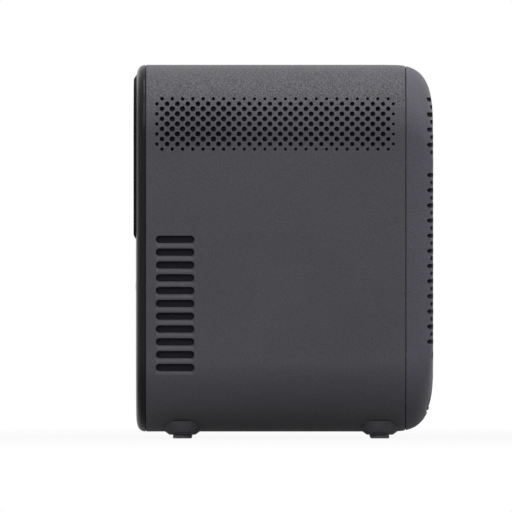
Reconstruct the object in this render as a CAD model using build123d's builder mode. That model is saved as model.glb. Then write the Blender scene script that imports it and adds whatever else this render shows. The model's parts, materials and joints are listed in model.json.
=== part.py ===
"""Upright home cinema projector with a built-in disc player, as an assembly of separate pieces.

Millimetres. +Z is up, the lens looks along -Y, and the origin is on the table under the middle of the box
that the whole object fills. The photographed side is the one at +X.
"""

from math import acos, asin, atan, cos, degrees, pi, radians, sin, sqrt, tan

import os

from build123d import *

os.makedirs("parts", exist_ok=True)

# ---------------------------------------------------------------- driving dimensions: the case
body_width = 156.0
body_depth = 178.0
body_height = 220.0
body_corner = 42.0  # corner radius seen from the front
wall = 2.5
foot_drop = 4.0  # table to the underside of the case
plate_proud = 1.4  # how far the lens plate stands in front of the fascia

fascia_depth = 5.8
fascia_round = 5.5
fascia_wall = 2.4
lip_depth = 3.0  # joint lips that enter the main sleeve
lip_wall = 1.2
lip_gap = 0.15

cover_depth = 16.5  # rear cover, from its seam to its face
blend_depth = 28.0  # where the body starts to round towards its back
blend_top = 40.0
blend_side = 11.0
blend_power = 3.2
blend_corner = 12.0  # what the corner radius loses towards the back
blend_shares = (0.0, 0.12, 0.24, 0.38, 0.55, 0.7, 0.82, 0.9, 0.955, 0.985, 1.0)
blend_end = 0.997  # the flat back starts here, before the corner would turn fully square

# ---------------------------------------------------------------- driving dimensions: vents, slots and grille
vent_columns = 47
vent_rows = 11
vent_step_y = 3.075
vent_step_z = 3.01
vent_front = 12.6  # fascia face to the first column
vent_top = 20.7  # top of the case to the first row
vent_radii = (0.92, 1.3, 1.48)  # outer ring, second ring, field
vent_large_columns = 15  # the columns nearest the front are drilled wider
vent_large_extra = 0.13

slot_count = 11
slot_step = 7.66
slot_length = 23.0
slot_height = 4.3
slot_front = 12.0  # fascia face to the front ends of the slots
slot_top_z = 119.3  # middle line of the highest slot

grille_rows = 33
grille_step = 4.53
grille_top_z = 202.9
grille_hole = (15.3, 2.7)
grille_pitch = 18.12
grille_end_depths = (3.6, 1.8)  # even and odd rows end where the outline has dropped this far from the back
grille_depth = 6.0

screen_gap = 0.1
screen_thickness = 0.8
screen_border = 2.9  # screen beyond the openings that it backs
screen_y = (-79.0, 69.0)
panel_gap = 0.2  # round every piece that sits in a window

# ---------------------------------------------------------------- driving dimensions: feet and stand thread
foot_x = 48.0
foot_ys = (-60.5, 57.8)
foot_radius = 5.65
foot_height = 2.2
foot_cone = ((7.8, 2.2), (10.3, 4.0), (12.0, 10.5))  # radius and height of the cone that each foot sits on
stem_radius = 2.5
stem_height = 3.0
thread_radius = 2.55  # tapping size of a 1/4-20 stand thread
insert_radius = 5.0
insert_height = 9.0
insert_boss = 8.0

# ---------------------------------------------------------------- driving dimensions: screws
screw_radius = 1.25
screw_length = 8.0
screw_head = (2.4, 1.6)
screw_gap = 0.05
case_screw_x = 68.0
case_screw_zs = (50.0, 165.0)
case_screw_seat = 4.0  # seam to the seat of the head
case_boss = 4.5
board_posts = ((12.0, 2.0), (50.0, 3.7))  # place across, and foot above the underside
board_post_ys = (-36.0, 58.0)
board_post = 3.0

# ---------------------------------------------------------------- driving dimensions: lens side
plate_margin = 6.2  # plate edge to the edge of the case
plate_bottom_z = 119.3
plate_seat = 0.8  # depth of the recess it sits in
plate_low_corner = 5.0
plate_bevel = 2.4
lens_z = 169.0
aperture_radius = 31.0
shroud_wall = 1.4
shroud_throat = 22.4
shroud_back_y = -64.0
barrel_radius = 21.0
barrel_wall = 2.4
barrel_y = (-70.0, -28.0)
mount_wall = 2.7
mount_y = (-62.0, -22.0)
flange_depth = 3.0
ring_module = 0.8
ring_teeth = 70
focus_pinion_teeth = 15
ring_y = (-50.0, -42.0)
ring_shoulder = 2.5
focus_angle = -60.0  # where the focus motor sits round the lens
focus_motor_radius = 6.0
focus_motor_length = 14.0

engine_x = 42.0
engine_z = 30.0  # half height of the light box
engine_y = (-22.0, 36.0)
engine_wall = 2.0
engine_post = 3.5
fresnel_ys = (-14.0, 14.0)
fresnel_thickness = 2.0
lcd_y = 0.0
lcd_thickness = 2.4
condenser_radius = 24.0

shelf_thickness = 1.5
shelf_half = 74.3
shelf_y = (-76.0, 69.0)
engine_shelf_z = 124.0
loader_shelf_z = 82.5
ledge_width = 7.0
ledge_height = 3.0
ledge_y = (-48.0, 60.0)
shelf_screw_ys = (-40.0, 50.0)

heatsink_side = 84.0
heatsink_y = (45.0, 49.0, 66.0)  # face, root of the fins, ends of the fins
fin_count = 15
fin_thickness = 1.6
fan_side = 80.0
fan_depth = 15.0
fan_bore = 37.5
fan_hub = 16.0
fan_blades = 7
fan_gap = 1.0
fan_shaft = 1.5
shaft_gap = 0.05

# ---------------------------------------------------------------- driving dimensions: disc loader
tray_half = 65.5
tray_z = (104.0, 110.0)
tray_back_y = 72.0
disc_recess = 60.6
disc_recess_depth = 2.0
small_recess = 40.6
small_recess_depth = 0.8
tray_slot_half = 24.0
tray_slot_front = 17.0  # disc centre to the front end of the slot
door_thickness = 2.5
door_half = 67.2
door_z = (99.9, 113.4)
door_gap = 0.5
disc_margin = 2.2  # door to the disc recess

chassis_half = 68.5
chassis_wall = 2.0
chassis_floor = 2.0
chassis_y = (-80.0, 78.0)
chassis_top_z = 115.0
run_gap = 0.3  # running clearance of sliding pieces
rail_width = 5.5

rack_module = 1.0
rack_pinion_teeth = 15
rack_x = -57.0  # pitch line
rack_back = 3.0
rack_y = (-72.0, 71.0)
rack_depth = 3.1
rack_gear_y = -63.0
wheel_module = 0.7
wheel_teeth = 40
small_teeth = 12
gear_angle = -25.0  # from the rack gear towards the pulley gear
gear_z = (97.0, 99.6)
axle_radius = 1.5
pulley_radius = 8.0
pulley_z = (92.2, 96.0)
pulley_rim = 0.6
motor_pulley_radius = 2.2
belt_thickness = 1.0
belt_z = (93.6, 94.6)
belt_gap = 0.05
motor_at = (-2.0, -68.0)
motor_radius = 10.0
motor_top_z = 92.0
motor_shaft = 0.75

traverse_axis = (66.0, 95.0)  # y and z of the hinge at its back
traverse_pin = 2.0
traverse_half = 34.0
traverse_y = (-44.0, 70.0)
traverse_z = (93.0, 95.0)
traverse_window = ((-22.0, 30.0), (-8.0, 54.0))
guide_x = 18.0
guide_z = 99.6
guide_radius = 1.5
screw_line_x = 25.0
lead_radius = 1.2
sled_radius = 4.0
bearing_depth = 4.0
bearing_top_z = 102.0
spindle_radius = 12.0
spindle_top_z = 103.0
turntable_z = (104.0, 106.8, 108.3, 111.2)  # hub foot, plate, top of the plate, top of the cone
turntable_radius = 14.0
cone_radius = 7.4
pickup_inner = 24.0  # disc centre to the pickup lens at the start of its travel
pickup_half = (21.5, 8.0)
pickup_z = (96.4, 103.0)
clamp_radius = 12.0
clamp_z = (111.5, 113.3, 117.0, 118.2)
clamp_neck = 6.0
clamp_strip = (12.0, 1.2)  # half width and thickness of the bridge

# ---------------------------------------------------------------- driving dimensions: keys and electronics
key_xs = (-28.0, -14.0, 0.0, 14.0, 28.0)
key_names = ("power_key", "previous_key", "play_key", "next_key", "volume_key")
key_y = -55.0
key_length = 9.0
key_width = 6.0
key_gap = 0.25
key_depth = 4.4
key_rim = 1.0
key_travel = 0.5
strip_depth = 0.6
strip_border = 4.0
key_post_x = 38.0
key_post = 2.5
key_board_half = (42.0, 7.0)
switch_height = 1.6

eject_at = (52.0, 91.0)
eject_size = (12.0, 5.0)
eject_proud = 0.5
eject_travel = 0.8
light_at = (38.0, 91.0)
light_radius = 1.0
front_board_x = (32.0, 60.0)
front_board_z = (86.0, 97.0)
front_board_y = (-81.6, -80.0)

board_thickness = 1.6
board_z = 20.0
board_x = (4.0, 58.0)
board_y = (-42.0, 76.0)
tub_half = 50.0
tub_z = (17.0, 42.0)
tub_wall = 1.6
tub_floor_y = 80.0
ports = (  # place across, place up, width and height of each opening in the port panel
    (-36.0, 31.0, 20.0, 12.0),
    (-14.0, 31.0, 9.0, 9.0),
    (2.0, 24.8, 15.0, 5.6),
    (20.0, 24.8, 13.2, 5.6),
    (36.0, 25.5, 7.0, 7.0),
    (2.0, 34.0, 13.2, 5.6),
    (20.0, 34.0, 7.0, 7.0),
)
port_gap = 0.3
socket_wall = (1.2, 0.7)  # at the sides, and above and below
socket_bore = 2.5
socket_depth = 8.0
socket_shell = 10.0  # from the back edge of the board to the backs of the sockets
speaker_y = (-78.0, -52.0)
speaker_z = (43.0, 81.0)
speaker_x = (64.0, 74.4)
magnet_radius = 9.0

# ---------------------------------------------------------------- worked out from them
front_y = plate_proud - (body_depth + plate_proud) / 2
back_y = front_y + body_depth
base_z = foot_drop
top_z = base_z + body_height
middle_z = base_z + body_height / 2
front_seam_y = front_y + fascia_depth
rear_seam_y = back_y - cover_depth
blend_y = back_y - blend_depth
inner_x = body_width / 2 - wall
inner_top_z = top_z - wall
disc_y = front_y + door_thickness + disc_margin + disc_recess
ledge_screw_x = inner_x - ledge_width / 2
keys_z = top_z - strip_depth
gear_reach = wheel_module * (wheel_teeth + small_teeth) / 2
rack_gear_at = (rack_x + rack_module * rack_pinion_teeth / 2, rack_gear_y)
pulley_gear_at = (
    rack_gear_at[0] + gear_reach * cos(radians(gear_angle)),
    rack_gear_at[1] + gear_reach * sin(radians(gear_angle)),
)
pinion_top_z = tray_z[0] - run_gap
rack_profile = ((-1.2, -1.12), (0.8, -0.42), (0.8, 0.42), (-1.2, 1.12))  # one tooth, in modules, out and along
rack_first = int((rack_y[0] - rack_gear_y) / (pi * rack_module)) - 0.5
rack_points = [(rack_x - rack_back, rack_y[1]), (rack_x - rack_back, rack_y[0])]
rack_points.append((rack_x - 1.2 * rack_module, rack_y[0]))
for k in range(int((rack_y[1] - rack_y[0]) / (pi * rack_module)) - 1):
    tooth_y = rack_gear_y + (rack_first + k + 1) * pi * rack_module
    rack_points += [(rack_x + rack_module * out, tooth_y + rack_module * along) for out, along in rack_profile]
rack_points.append((rack_x - 1.2 * rack_module, rack_y[1]))
lens_axis = Axis((0, 0, lens_z), (0, 1, 0))

TURN = {"X": (0, 90, 0), "Y": (-90, 0, 0), "Z": (0, 0, 0)}


def across(y, at=(0, 0)):
    """An upright plane at depth y, drawn with X to the right and Z up. A negative extrusion goes back."""
    return Plane(origin=(at[0], y, at[1]), x_dir=(1, 0, 0), z_dir=(0, -1, 0))


def block(x, y, z, mode=Mode.ADD):
    """A box in the current part from its spans along X, Y and Z."""
    with Locations(((x[0] + x[1]) / 2, (y[0] + y[1]) / 2, (z[0] + z[1]) / 2)):
        Box(x[1] - x[0], y[1] - y[0], z[1] - z[0], mode=mode)


def bar(axis, at, radius, span, mode=Mode.ADD):
    """A round bar in the current part, along an axis, at its two other coordinates."""
    middle = (span[0] + span[1]) / 2
    centre = {"X": (middle, *at), "Y": (at[0], middle, at[1]), "Z": (*at, middle)}[axis]
    with Locations(centre):
        Cylinder(radius, span[1] - span[0], rotation=TURN[axis], mode=mode)


def turned(outline):
    """A ring round the lens axis from its outline, each point a place along Y and a radius."""
    with BuildPart() as ring:
        with BuildSketch(Plane.YZ):
            with BuildLine():
                Polyline(*[(y, lens_z + radius) for y, radius in outline], close=True)
            make_face()
        revolve(axis=lens_axis)
    return ring.part


def write(piece, label):
    """Labels a finished piece and writes its file."""
    piece.part.label = label
    export_step(piece.part, f"parts/{label}.step")


def rounding(share):
    """How far a corner of the side view has turned in, from 0 to 1, at a share of the blend's depth."""
    return 1 - (1 - share**blend_power) ** (1 / blend_power)


def body_section(y, inset):
    """Width, height and corner radius of the body's section at depth y, drawn in by inset."""
    share = max(0.0, (y - blend_y) / (blend_depth - inset))
    turn = rounding(min(share, blend_end))
    return (
        body_width - 2 * inset - 2 * turn * (blend_side - inset),
        body_height - 2 * inset - 2 * turn * (blend_top - inset),
        body_corner - inset - turn * blend_corner,
    )


def outline_reach(y, z):
    """How far the body's section at depth y reaches across at height z."""
    width, height, radius = body_section(y, 0)
    rise = max(0.0, abs(z - middle_z) - height / 2 + radius)
    return width / 2 - radius + sqrt(max(0.0, radius**2 - rise**2))


def body_form(inset):
    """The body's own form from its front face, drawn in by inset and closed at its rounded back."""
    with BuildPart() as form:
        with BuildSketch(across(front_y)):
            with Locations((0, middle_z)):
                RectangleRounded(*body_section(front_y, inset))
        extrude(amount=front_y - blend_y)
        for share in blend_shares:
            y = blend_y + share * (blend_depth - inset)
            with BuildSketch(across(y)):
                with Locations((0, middle_z)):
                    RectangleRounded(*body_section(y, inset))
        loft()
    return form.part


def lip(y, ends, inset, thickness):
    """A straight ring that follows the body's section at depth y, between two depths."""
    with BuildPart() as ring:
        with BuildSketch(across(ends[0])):
            with Locations((0, middle_z)):
                RectangleRounded(*body_section(y, inset))
                RectangleRounded(*body_section(y, inset + thickness), mode=Mode.SUBTRACT)
        extrude(amount=ends[0] - ends[1])
    return ring.part


def gear_points(module, teeth, turn):
    """Involute teeth about the origin with short tips and a little backlash. turn, in degrees, aims a tooth."""
    pitch = module * teeth / 2
    base = pitch * cos(radians(20))
    root, tip = pitch - 1.2 * module, pitch + 0.8 * module
    start = max(base, root)
    half = (pi / 2 - 0.14) * module / (2 * pitch)

    def unwound(radius):
        angle = acos(min(1.0, base / radius))
        return tan(angle) - angle

    flank = [(r, half + unwound(pitch) - unwound(r)) for r in (start, (start + tip) / 2, tip)]
    lead = [(root, -flank[0][1])] + [(r, -a) for r, a in flank]
    trail = [(r, a) for r, a in reversed(flank)] + [(root, flank[0][1])]
    middles = [radians(turn) + 2 * pi * k / teeth for k in range(teeth)]
    outline = [(r * cos(m + a), r * sin(m + a)) for m in middles for r, a in lead + trail]
    return outline if root < start else list(dict.fromkeys(outline))


def gear(plane, module, teeth, turn, width):
    """A spur gear centred on a plane and thick along its normal."""
    with BuildPart() as wheel:
        with BuildSketch(plane):
            with BuildLine():
                Polyline(*gear_points(module, teeth, turn), close=True)
            make_face()
        extrude(amount=width)
    return wheel.part


outer_form = body_form(0)
inner_form = body_form(wall)


# ================================================================ the case
vent_y = front_y + vent_front
vent_z = top_z - vent_top
vent_low_z = vent_z - (vent_rows - 1) * vent_step_z
slot_y = front_y + slot_front + slot_length / 2
slot_zs = [slot_top_z - k * slot_step for k in range(slot_count)]


def vent_radius(column, row):
    """Holes grow over the two outer rings of the pattern and are wider near the front."""
    ring = min(column, vent_columns - 1 - column, row, vent_rows - 1 - row, len(vent_radii) - 1)
    return vent_radii[ring] + (vent_large_extra if column < vent_large_columns else 0)


vent_groups = {}
for row in range(vent_rows):
    for column in range(1 - row % 2, vent_columns, 2):
        place = (vent_y + column * vent_step_y, vent_z - row * vent_step_z)
        vent_groups.setdefault(vent_radius(column, row), []).append(place)

with BuildPart() as half_sleeve:
    add(outer_form)
    add(inner_form, mode=Mode.SUBTRACT)
    block((0, body_width), (front_seam_y, rear_seam_y), (0, top_z + 1), Mode.INTERSECT)
    for y in foot_ys:
        for (low_radius, low), (high_radius, high) in zip(foot_cone, foot_cone[1:]):
            with Locations((foot_x, y, (low + high) / 2)):
                Cone(low_radius, high_radius, high - low)
        bar("Z", (foot_x, y), stem_radius, (foot_height - 1, foot_height + stem_height), Mode.SUBTRACT)
    block((0, insert_boss), (-insert_boss, insert_boss), (base_z, base_z + insert_height + 2))
    bar("Z", (0, 0), insert_radius, (base_z - 1, base_z + insert_height), Mode.SUBTRACT)
    for z in (loader_shelf_z, engine_shelf_z):
        block((inner_x - ledge_width, inner_x + 0.5), ledge_y, (z - ledge_height, z))
        for y in shelf_screw_ys:
            bar("Z", (ledge_screw_x, y), screw_radius + screw_gap, (z - ledge_height, z), Mode.SUBTRACT)
    for z in case_screw_zs:
        block((case_screw_x, inner_x + 0.5), (rear_seam_y - 14, rear_seam_y), (z - 2, z + 2))
        bar("Y", (case_screw_x, z), case_boss, (rear_seam_y - 14, rear_seam_y))
        bar("Y", (case_screw_x, z), screw_radius + screw_gap, (rear_seam_y - 8, rear_seam_y), Mode.SUBTRACT)
    for x, foot in board_posts:
        for y in board_post_ys:
            bar("Z", (x, y), board_post, (base_z + foot, board_z))
            bar("Z", (x, y), screw_radius + screw_gap, (board_z - screw_length, board_z), Mode.SUBTRACT)
    bar("Z", (key_post_x, key_y), key_post, (keys_z - key_depth - switch_height, inner_top_z + 1))
    with BuildSketch(Plane.XY.offset(top_z)):
        with Locations((0, key_y)):
            SlotOverall(2 * key_xs[-1] + key_length + 2 * strip_border, key_width + 2 * strip_border)
    extrude(amount=-strip_depth, mode=Mode.SUBTRACT)
    with BuildSketch(Plane.XY.offset(top_z)):
        with Locations(*[(x, key_y) for x in key_xs]):
            SlotOverall(key_length + 2 * key_gap, key_width + 2 * key_gap)
    extrude(amount=-wall - 0.5, mode=Mode.SUBTRACT)
    with BuildSketch(Plane.YZ.offset(body_width / 2 + 1)):
        with Locations(*[(slot_y, z) for z in slot_zs]):
            SlotOverall(slot_length, slot_height)
        for radius, places in vent_groups.items():
            with Locations(*places):
                Circle(radius)
    extrude(amount=-body_corner, mode=Mode.SUBTRACT)

with BuildPart() as main_housing:
    add(half_sleeve.part)
    mirror(about=Plane.YZ)
write(main_housing, "main_housing")

plate_width = body_width - 2 * plate_margin
plate_height = top_z - plate_margin - plate_bottom_z
plate_middle_z = plate_bottom_z + plate_height / 2


def plate_outline(gap):
    """The lens plate's outline, grown by a gap: wide corners at the top and tight ones below."""
    with BuildSketch() as outline:
        with Locations((0, plate_middle_z)):
            Rectangle(plate_width + 2 * gap, plate_height + 2 * gap)
        fillet(vertices().group_by(Axis.Y)[-1], body_corner - plate_margin + gap)
        fillet(vertices().group_by(Axis.Y)[0], plate_low_corner + gap)
    return outline.sketch


plate_face = plate_outline(0)
plate_recess = plate_outline(panel_gap)
fascia_lip = lip(front_y, (front_seam_y - 1, front_seam_y + lip_depth), wall + lip_gap, lip_wall)
cover_seat = lip(rear_seam_y, (rear_seam_y, rear_seam_y + 1), wall - 0.5, 0.5 + lip_gap + lip_wall)
cover_lip = lip(rear_seam_y, (rear_seam_y - lip_depth, rear_seam_y + 1), wall + lip_gap, lip_wall)

with BuildPart() as front_fascia:
    with BuildSketch(across(front_seam_y)):
        with Locations((0, middle_z)):
            RectangleRounded(body_width, body_height, body_corner)
    extrude(amount=fascia_depth)
    fillet(faces().sort_by(Axis.Y)[0].outer_wire().edges(), fascia_round)
    with BuildSketch(across(front_seam_y)):
        with Locations((0, middle_z)):
            RectangleRounded(*[size - 4 * wall for size in (body_width, body_height)], body_corner - 2 * wall)
    extrude(amount=fascia_depth - fascia_wall, mode=Mode.SUBTRACT)
    add(fascia_lip)
    with BuildSketch(across(front_y)):
        add(plate_recess)
    extrude(amount=-plate_seat, mode=Mode.SUBTRACT)
    bar("Y", (0, lens_z), aperture_radius + panel_gap, (front_y - 1, front_seam_y), Mode.SUBTRACT)
    with BuildSketch(across(front_y)):
        with Locations((0, sum(door_z) / 2)):
            RectangleRounded(2 * (door_half + door_gap), door_z[1] - door_z[0] + 2 * door_gap, 2)
        with Locations(eject_at):
            SlotOverall(eject_size[0] + 2 * panel_gap, eject_size[1] + 2 * panel_gap)
        with Locations(light_at):
            Circle(light_radius + 0.05)
    extrude(amount=-fascia_depth, mode=Mode.SUBTRACT)
write(front_fascia, "front_fascia")

with BuildPart() as lens_plate:
    with BuildSketch(across(front_y + plate_seat)):
        add(plate_face)
    extrude(amount=plate_seat)
    with BuildSketch(across(front_y)):
        add(plate_face)
    extrude(amount=plate_proud, taper=degrees(atan(plate_bevel / plate_proud)))
    bar("Y", (0, lens_z), aperture_radius + panel_gap, (front_y - 5, front_y + 5), Mode.SUBTRACT)
write(lens_plate, "lens_plate")

with BuildPart() as lens_shroud:
    fascia_back_y = front_y + fascia_wall
    mouth_y = front_y - plate_proud / 2
    add(turned([
        (mouth_y, aperture_radius),
        (fascia_back_y, aperture_radius),
        (fascia_back_y, aperture_radius + 3),
        (fascia_back_y + shroud_wall, aperture_radius + 3),
        (fascia_back_y + shroud_wall, aperture_radius),
        (shroud_back_y, shroud_throat + shroud_wall),
        (shroud_back_y, shroud_throat),
        (mouth_y, aperture_radius - shroud_wall),
    ]))
write(lens_shroud, "lens_shroud")

grille_groups = {}
for row in range(grille_rows):
    z = grille_top_z - row * grille_step
    by_screw = min(abs(z - screw_z) for screw_z in case_screw_zs) < case_boss + 1
    row_end = outline_reach(back_y - grille_end_depths[row % 2], z)
    if by_screw:
        row_end = min(row_end, case_screw_x - case_boss - 1)
    left = (row % 2) * grille_pitch / 2 - grille_hole[0] / 2
    while left + grille_hole[1] < row_end:
        right = min(row_end, left + grille_hole[0])
        if row_end < right + grille_pitch - grille_hole[0] / 2:
            right = row_end
        grille_groups.setdefault(round(right - left, 2), []).append(((left + right) / 2, z))
        left += grille_pitch

with BuildPart() as half_cover:
    add(outer_form)
    add(inner_form, mode=Mode.SUBTRACT)
    block((0, body_width), (rear_seam_y, back_y + 1), (0, top_z + 1), Mode.INTERSECT)
    add(cover_seat)
    add(cover_lip)
    block((0, body_width), (0, back_y + 1), (0, top_z + 1), Mode.INTERSECT)
    for z in case_screw_zs:
        bar("Y", (case_screw_x, z), case_boss, (rear_seam_y, back_y - wall / 2))
        bar("Y", (case_screw_x, z), screw_radius + screw_gap, (rear_seam_y, back_y + 1), Mode.SUBTRACT)
        bar("Y", (case_screw_x, z), screw_head[0] + 0.2, (rear_seam_y + case_screw_seat, back_y + 1), Mode.SUBTRACT)
        notch_z = (z - case_boss - lip_gap, z + case_boss + lip_gap)
        notch_x = (case_screw_x - case_boss - lip_gap, body_width)
        block(notch_x, (rear_seam_y - lip_depth - 1, rear_seam_y), notch_z, Mode.SUBTRACT)
    window_z = (tub_z[0] - panel_gap, tub_z[1] + panel_gap)
    block((-1, tub_half + panel_gap), (rear_seam_y, back_y + 1), window_z, Mode.SUBTRACT)
    with BuildSketch(across(back_y + 1)):
        for width, places in grille_groups.items():
            with Locations(*places):
                SlotOverall(width, grille_hole[1])
    extrude(amount=grille_depth + 1, mode=Mode.SUBTRACT)

with BuildPart() as rear_cover:
    add(half_cover.part)
    mirror(about=Plane.YZ)
write(rear_cover, "rear_cover")

with BuildPart() as port_panel:
    block((-tub_half, tub_half), (tub_floor_y - tub_wall, back_y + 1), tub_z)
    add(outer_form, mode=Mode.INTERSECT)
    block(
        (-tub_half + tub_wall, tub_half - tub_wall),
        (tub_floor_y, back_y + 1),
        (tub_z[0] + tub_wall, tub_z[1] - tub_wall),
        Mode.SUBTRACT,
    )
    for x, z, width, height in ports:
        block(
            (x - width / 2 - port_gap, x + width / 2 + port_gap),
            (tub_floor_y - tub_wall - 1, tub_floor_y + 1),
            (z - height / 2 - port_gap, z + height / 2 + port_gap),
            Mode.SUBTRACT,
        )
write(port_panel, "port_panel")

with BuildPart() as rubber_feet:
    with Locations(*[(x, y, 0) for x in (-foot_x, foot_x) for y in foot_ys]):
        Cylinder(foot_radius, foot_height, align=(Align.CENTER, Align.CENTER, Align.MIN))
    chamfer(edges().group_by(Axis.Z)[0], 0.4)
    with Locations(*[(x, y, foot_height) for x in (-foot_x, foot_x) for y in foot_ys]):
        Cylinder(stem_radius - shaft_gap, stem_height - 0.5, align=(Align.CENTER, Align.CENTER, Align.MIN))
write(rubber_feet, "rubber_feet")

with BuildPart() as tripod_insert:
    bar("Z", (0, 0), insert_radius - shaft_gap, (base_z, base_z + insert_height))
    bar("Z", (0, 0), thread_radius, (base_z - 1, base_z + insert_height - 1), Mode.SUBTRACT)
write(tripod_insert, "tripod_insert")

with BuildPart() as half_screens:
    add(body_form(wall + screen_gap))
    add(body_form(wall + screen_gap + screen_thickness), mode=Mode.SUBTRACT)
    block((body_width / 4, body_width), screen_y, (0, 2 * middle_z), Mode.INTERSECT)
    below_vents = (0, vent_low_z - screen_border)
    block((0, body_width), (slot_y + slot_length / 2 + screen_border, back_y), below_vents, Mode.SUBTRACT)
    block((0, body_width), (front_y, back_y), (0, slot_zs[-1] - screen_border), Mode.SUBTRACT)
    block((0, body_width), (front_y, back_y), (slot_zs[0] + screen_border, vent_low_z - screen_border), Mode.SUBTRACT)
    block((0, body_width), (front_y, back_y), (vent_z + screen_border, top_z), Mode.SUBTRACT)

with BuildPart() as mesh_screens:
    add(half_screens.part)
    mirror(about=Plane.YZ)
write(mesh_screens, "mesh_screens")

with BuildPart() as screws:
    seats = [(x, y, board_z + board_thickness) for x, _ in board_posts for y in board_post_ys]
    for z in (loader_shelf_z, engine_shelf_z):
        seats += [(ledge_screw_x, y, z + shelf_thickness) for y in shelf_screw_ys]
    sunk = (rear_seam_y + case_screw_seat,)
    places = [Location((side * x, y, z)) for side in (-1, 1) for x, y, z in seats]
    places += [Location((side * case_screw_x, *sunk, z), TURN["Y"]) for side in (-1, 1) for z in case_screw_zs]
    with Locations(*places):
        Cylinder(screw_radius, screw_length, align=(Align.CENTER, Align.CENTER, Align.MAX))
        Cylinder(screw_head[0], screw_head[1], align=(Align.CENTER, Align.CENTER, Align.MIN))
write(screws, "screws")

# ---------------------------------------------------------------- keys
for x, name in zip(key_xs, key_names):
    with BuildPart() as key:
        with BuildSketch(Plane.XY.offset(keys_z)):
            with Locations((x, key_y)):
                SlotOverall(key_length, key_width)
        extrude(amount=-key_depth)
        chamfer(edges().group_by(Axis.Z)[-1], 0.3)
        with BuildSketch(Plane.XY.offset(keys_z - key_depth)):
            with Locations((x, key_y)):
                SlotOverall(key_length + 2 * key_rim, key_width + 2 * key_rim)
        extrude(amount=key_depth - (keys_z - inner_top_z) - run_gap)
    write(key, name)

with BuildPart() as key_board:
    switch_top = keys_z - key_depth - key_travel - 0.1
    board_top = keys_z - key_depth - switch_height
    block(
        (-key_board_half[0], key_board_half[0]),
        (key_y - key_board_half[1], key_y + key_board_half[1]),
        (board_top - board_thickness, board_top),
    )
    with Locations(*[(x, key_y, board_top) for x in key_xs]):
        Cylinder(2, switch_top - board_top, align=(Align.CENTER, Align.CENTER, Align.MIN))
write(key_board, "key_board")

with BuildPart() as eject_button:
    with BuildSketch(across(front_y - eject_proud)):
        with Locations(eject_at):
            SlotOverall(*eject_size)
    extrude(amount=-eject_proud - fascia_wall - run_gap - 1)
    chamfer(edges().group_by(Axis.Y)[0], 0.4)
    with BuildSketch(across(fascia_back_y + run_gap)):
        with Locations(eject_at):
            SlotOverall(eject_size[0] + 2 * key_rim, eject_size[1] + 2 * key_rim)
    extrude(amount=-1)
write(eject_button, "eject_button")

with BuildPart() as front_board:
    block(front_board_x, front_board_y, front_board_z)
    bar("Y", eject_at, 2, (fascia_back_y + run_gap + 1 + eject_travel + 0.1, front_board_y[0]))
    bar("Y", light_at, 1.2, (front_board_y[0] - 1, front_board_y[0]))
write(front_board, "front_board")

with BuildPart() as status_light:
    bar("Y", light_at, light_radius, (front_y - 0.2, front_board_y[0] - 1))
write(status_light, "status_light")

# ================================================================ the light engine
for name, z in (("loader_shelf", loader_shelf_z), ("engine_shelf", engine_shelf_z)):
    with BuildPart() as shelf:
        block((-shelf_half, shelf_half), shelf_y, (z, z + shelf_thickness))
        for x in (-ledge_screw_x, ledge_screw_x):
            for y in shelf_screw_ys:
                bar("Z", (x, y), screw_radius + screw_gap, (z - 1, z + 3), Mode.SUBTRACT)
    write(shelf, name)

shelf_top_z = engine_shelf_z + shelf_thickness
engine_span = (lens_z - engine_z, lens_z + engine_z)
tunnel_half = (engine_x - engine_wall, engine_z - engine_wall)

with BuildPart() as engine_housing:
    block((-engine_x, engine_x), engine_y, engine_span)
    block(
        (-tunnel_half[0], tunnel_half[0]),
        (engine_y[0] - 1, engine_y[1] - engine_wall),
        (lens_z - tunnel_half[1], lens_z + tunnel_half[1]),
        Mode.SUBTRACT,
    )
    bar("Y", (0, lens_z), condenser_radius - 2, (0, engine_y[1] + 1), Mode.SUBTRACT)
    for side in (-1, 1):
        rail = sorted((side * engine_x, side * (engine_x - 10)))
        block(rail, engine_y, (shelf_top_z, engine_span[0]))
        for z in (engine_span[0] + engine_post, engine_span[1] - engine_post):
            bar("Y", (side * (engine_x - engine_post), z), engine_post, (engine_y[1], heatsink_y[0]))
write(engine_housing, "engine_housing")


def pane(y, thickness):
    """An optical plate that fills the light box from wall to wall."""
    half_x, half_z = tunnel_half[0] - 0.1, tunnel_half[1] - 0.1
    block((-half_x, half_x), (y, y + thickness), (lens_z - half_z, lens_z + half_z))


with BuildPart() as fresnel_lenses:
    for y in fresnel_ys:
        pane(y, fresnel_thickness)
write(fresnel_lenses, "fresnel_lenses")

with BuildPart() as lcd_panel:
    pane(lcd_y, lcd_thickness)
write(lcd_panel, "lcd_panel")


def lens(y, radius, edge, bulge):
    """A lens that is flat at depth y and bulges towards the front as part of a sphere."""
    sphere = (radius**2 + bulge**2) / (2 * bulge)
    half_turn = asin(radius / sphere) / 2
    with BuildPart() as glass:
        with BuildSketch(Plane.YZ):
            with BuildLine():
                Polyline((y - edge - bulge, lens_z), (y, lens_z), (y, lens_z + radius), (y - edge, lens_z + radius))
                ThreePointArc(
                    (y - edge, lens_z + radius),
                    (y - edge - bulge + sphere * (1 - cos(half_turn)), lens_z + sphere * sin(half_turn)),
                    (y - edge - bulge, lens_z),
                )
            make_face()
        revolve(axis=lens_axis)
    return glass.part


with BuildPart() as condenser_lens:
    bar("Y", (0, lens_z), condenser_radius, (engine_y[1], engine_y[1] + 2))
    bar("Y", (0, lens_z), condenser_radius - 4, (engine_y[1] + 2, engine_y[1] + 4))
write(condenser_lens, "condenser_lens")

mount_bore = barrel_radius + run_gap
mount_radius = mount_bore + mount_wall
flange_y = engine_y[0] - flange_depth

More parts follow.
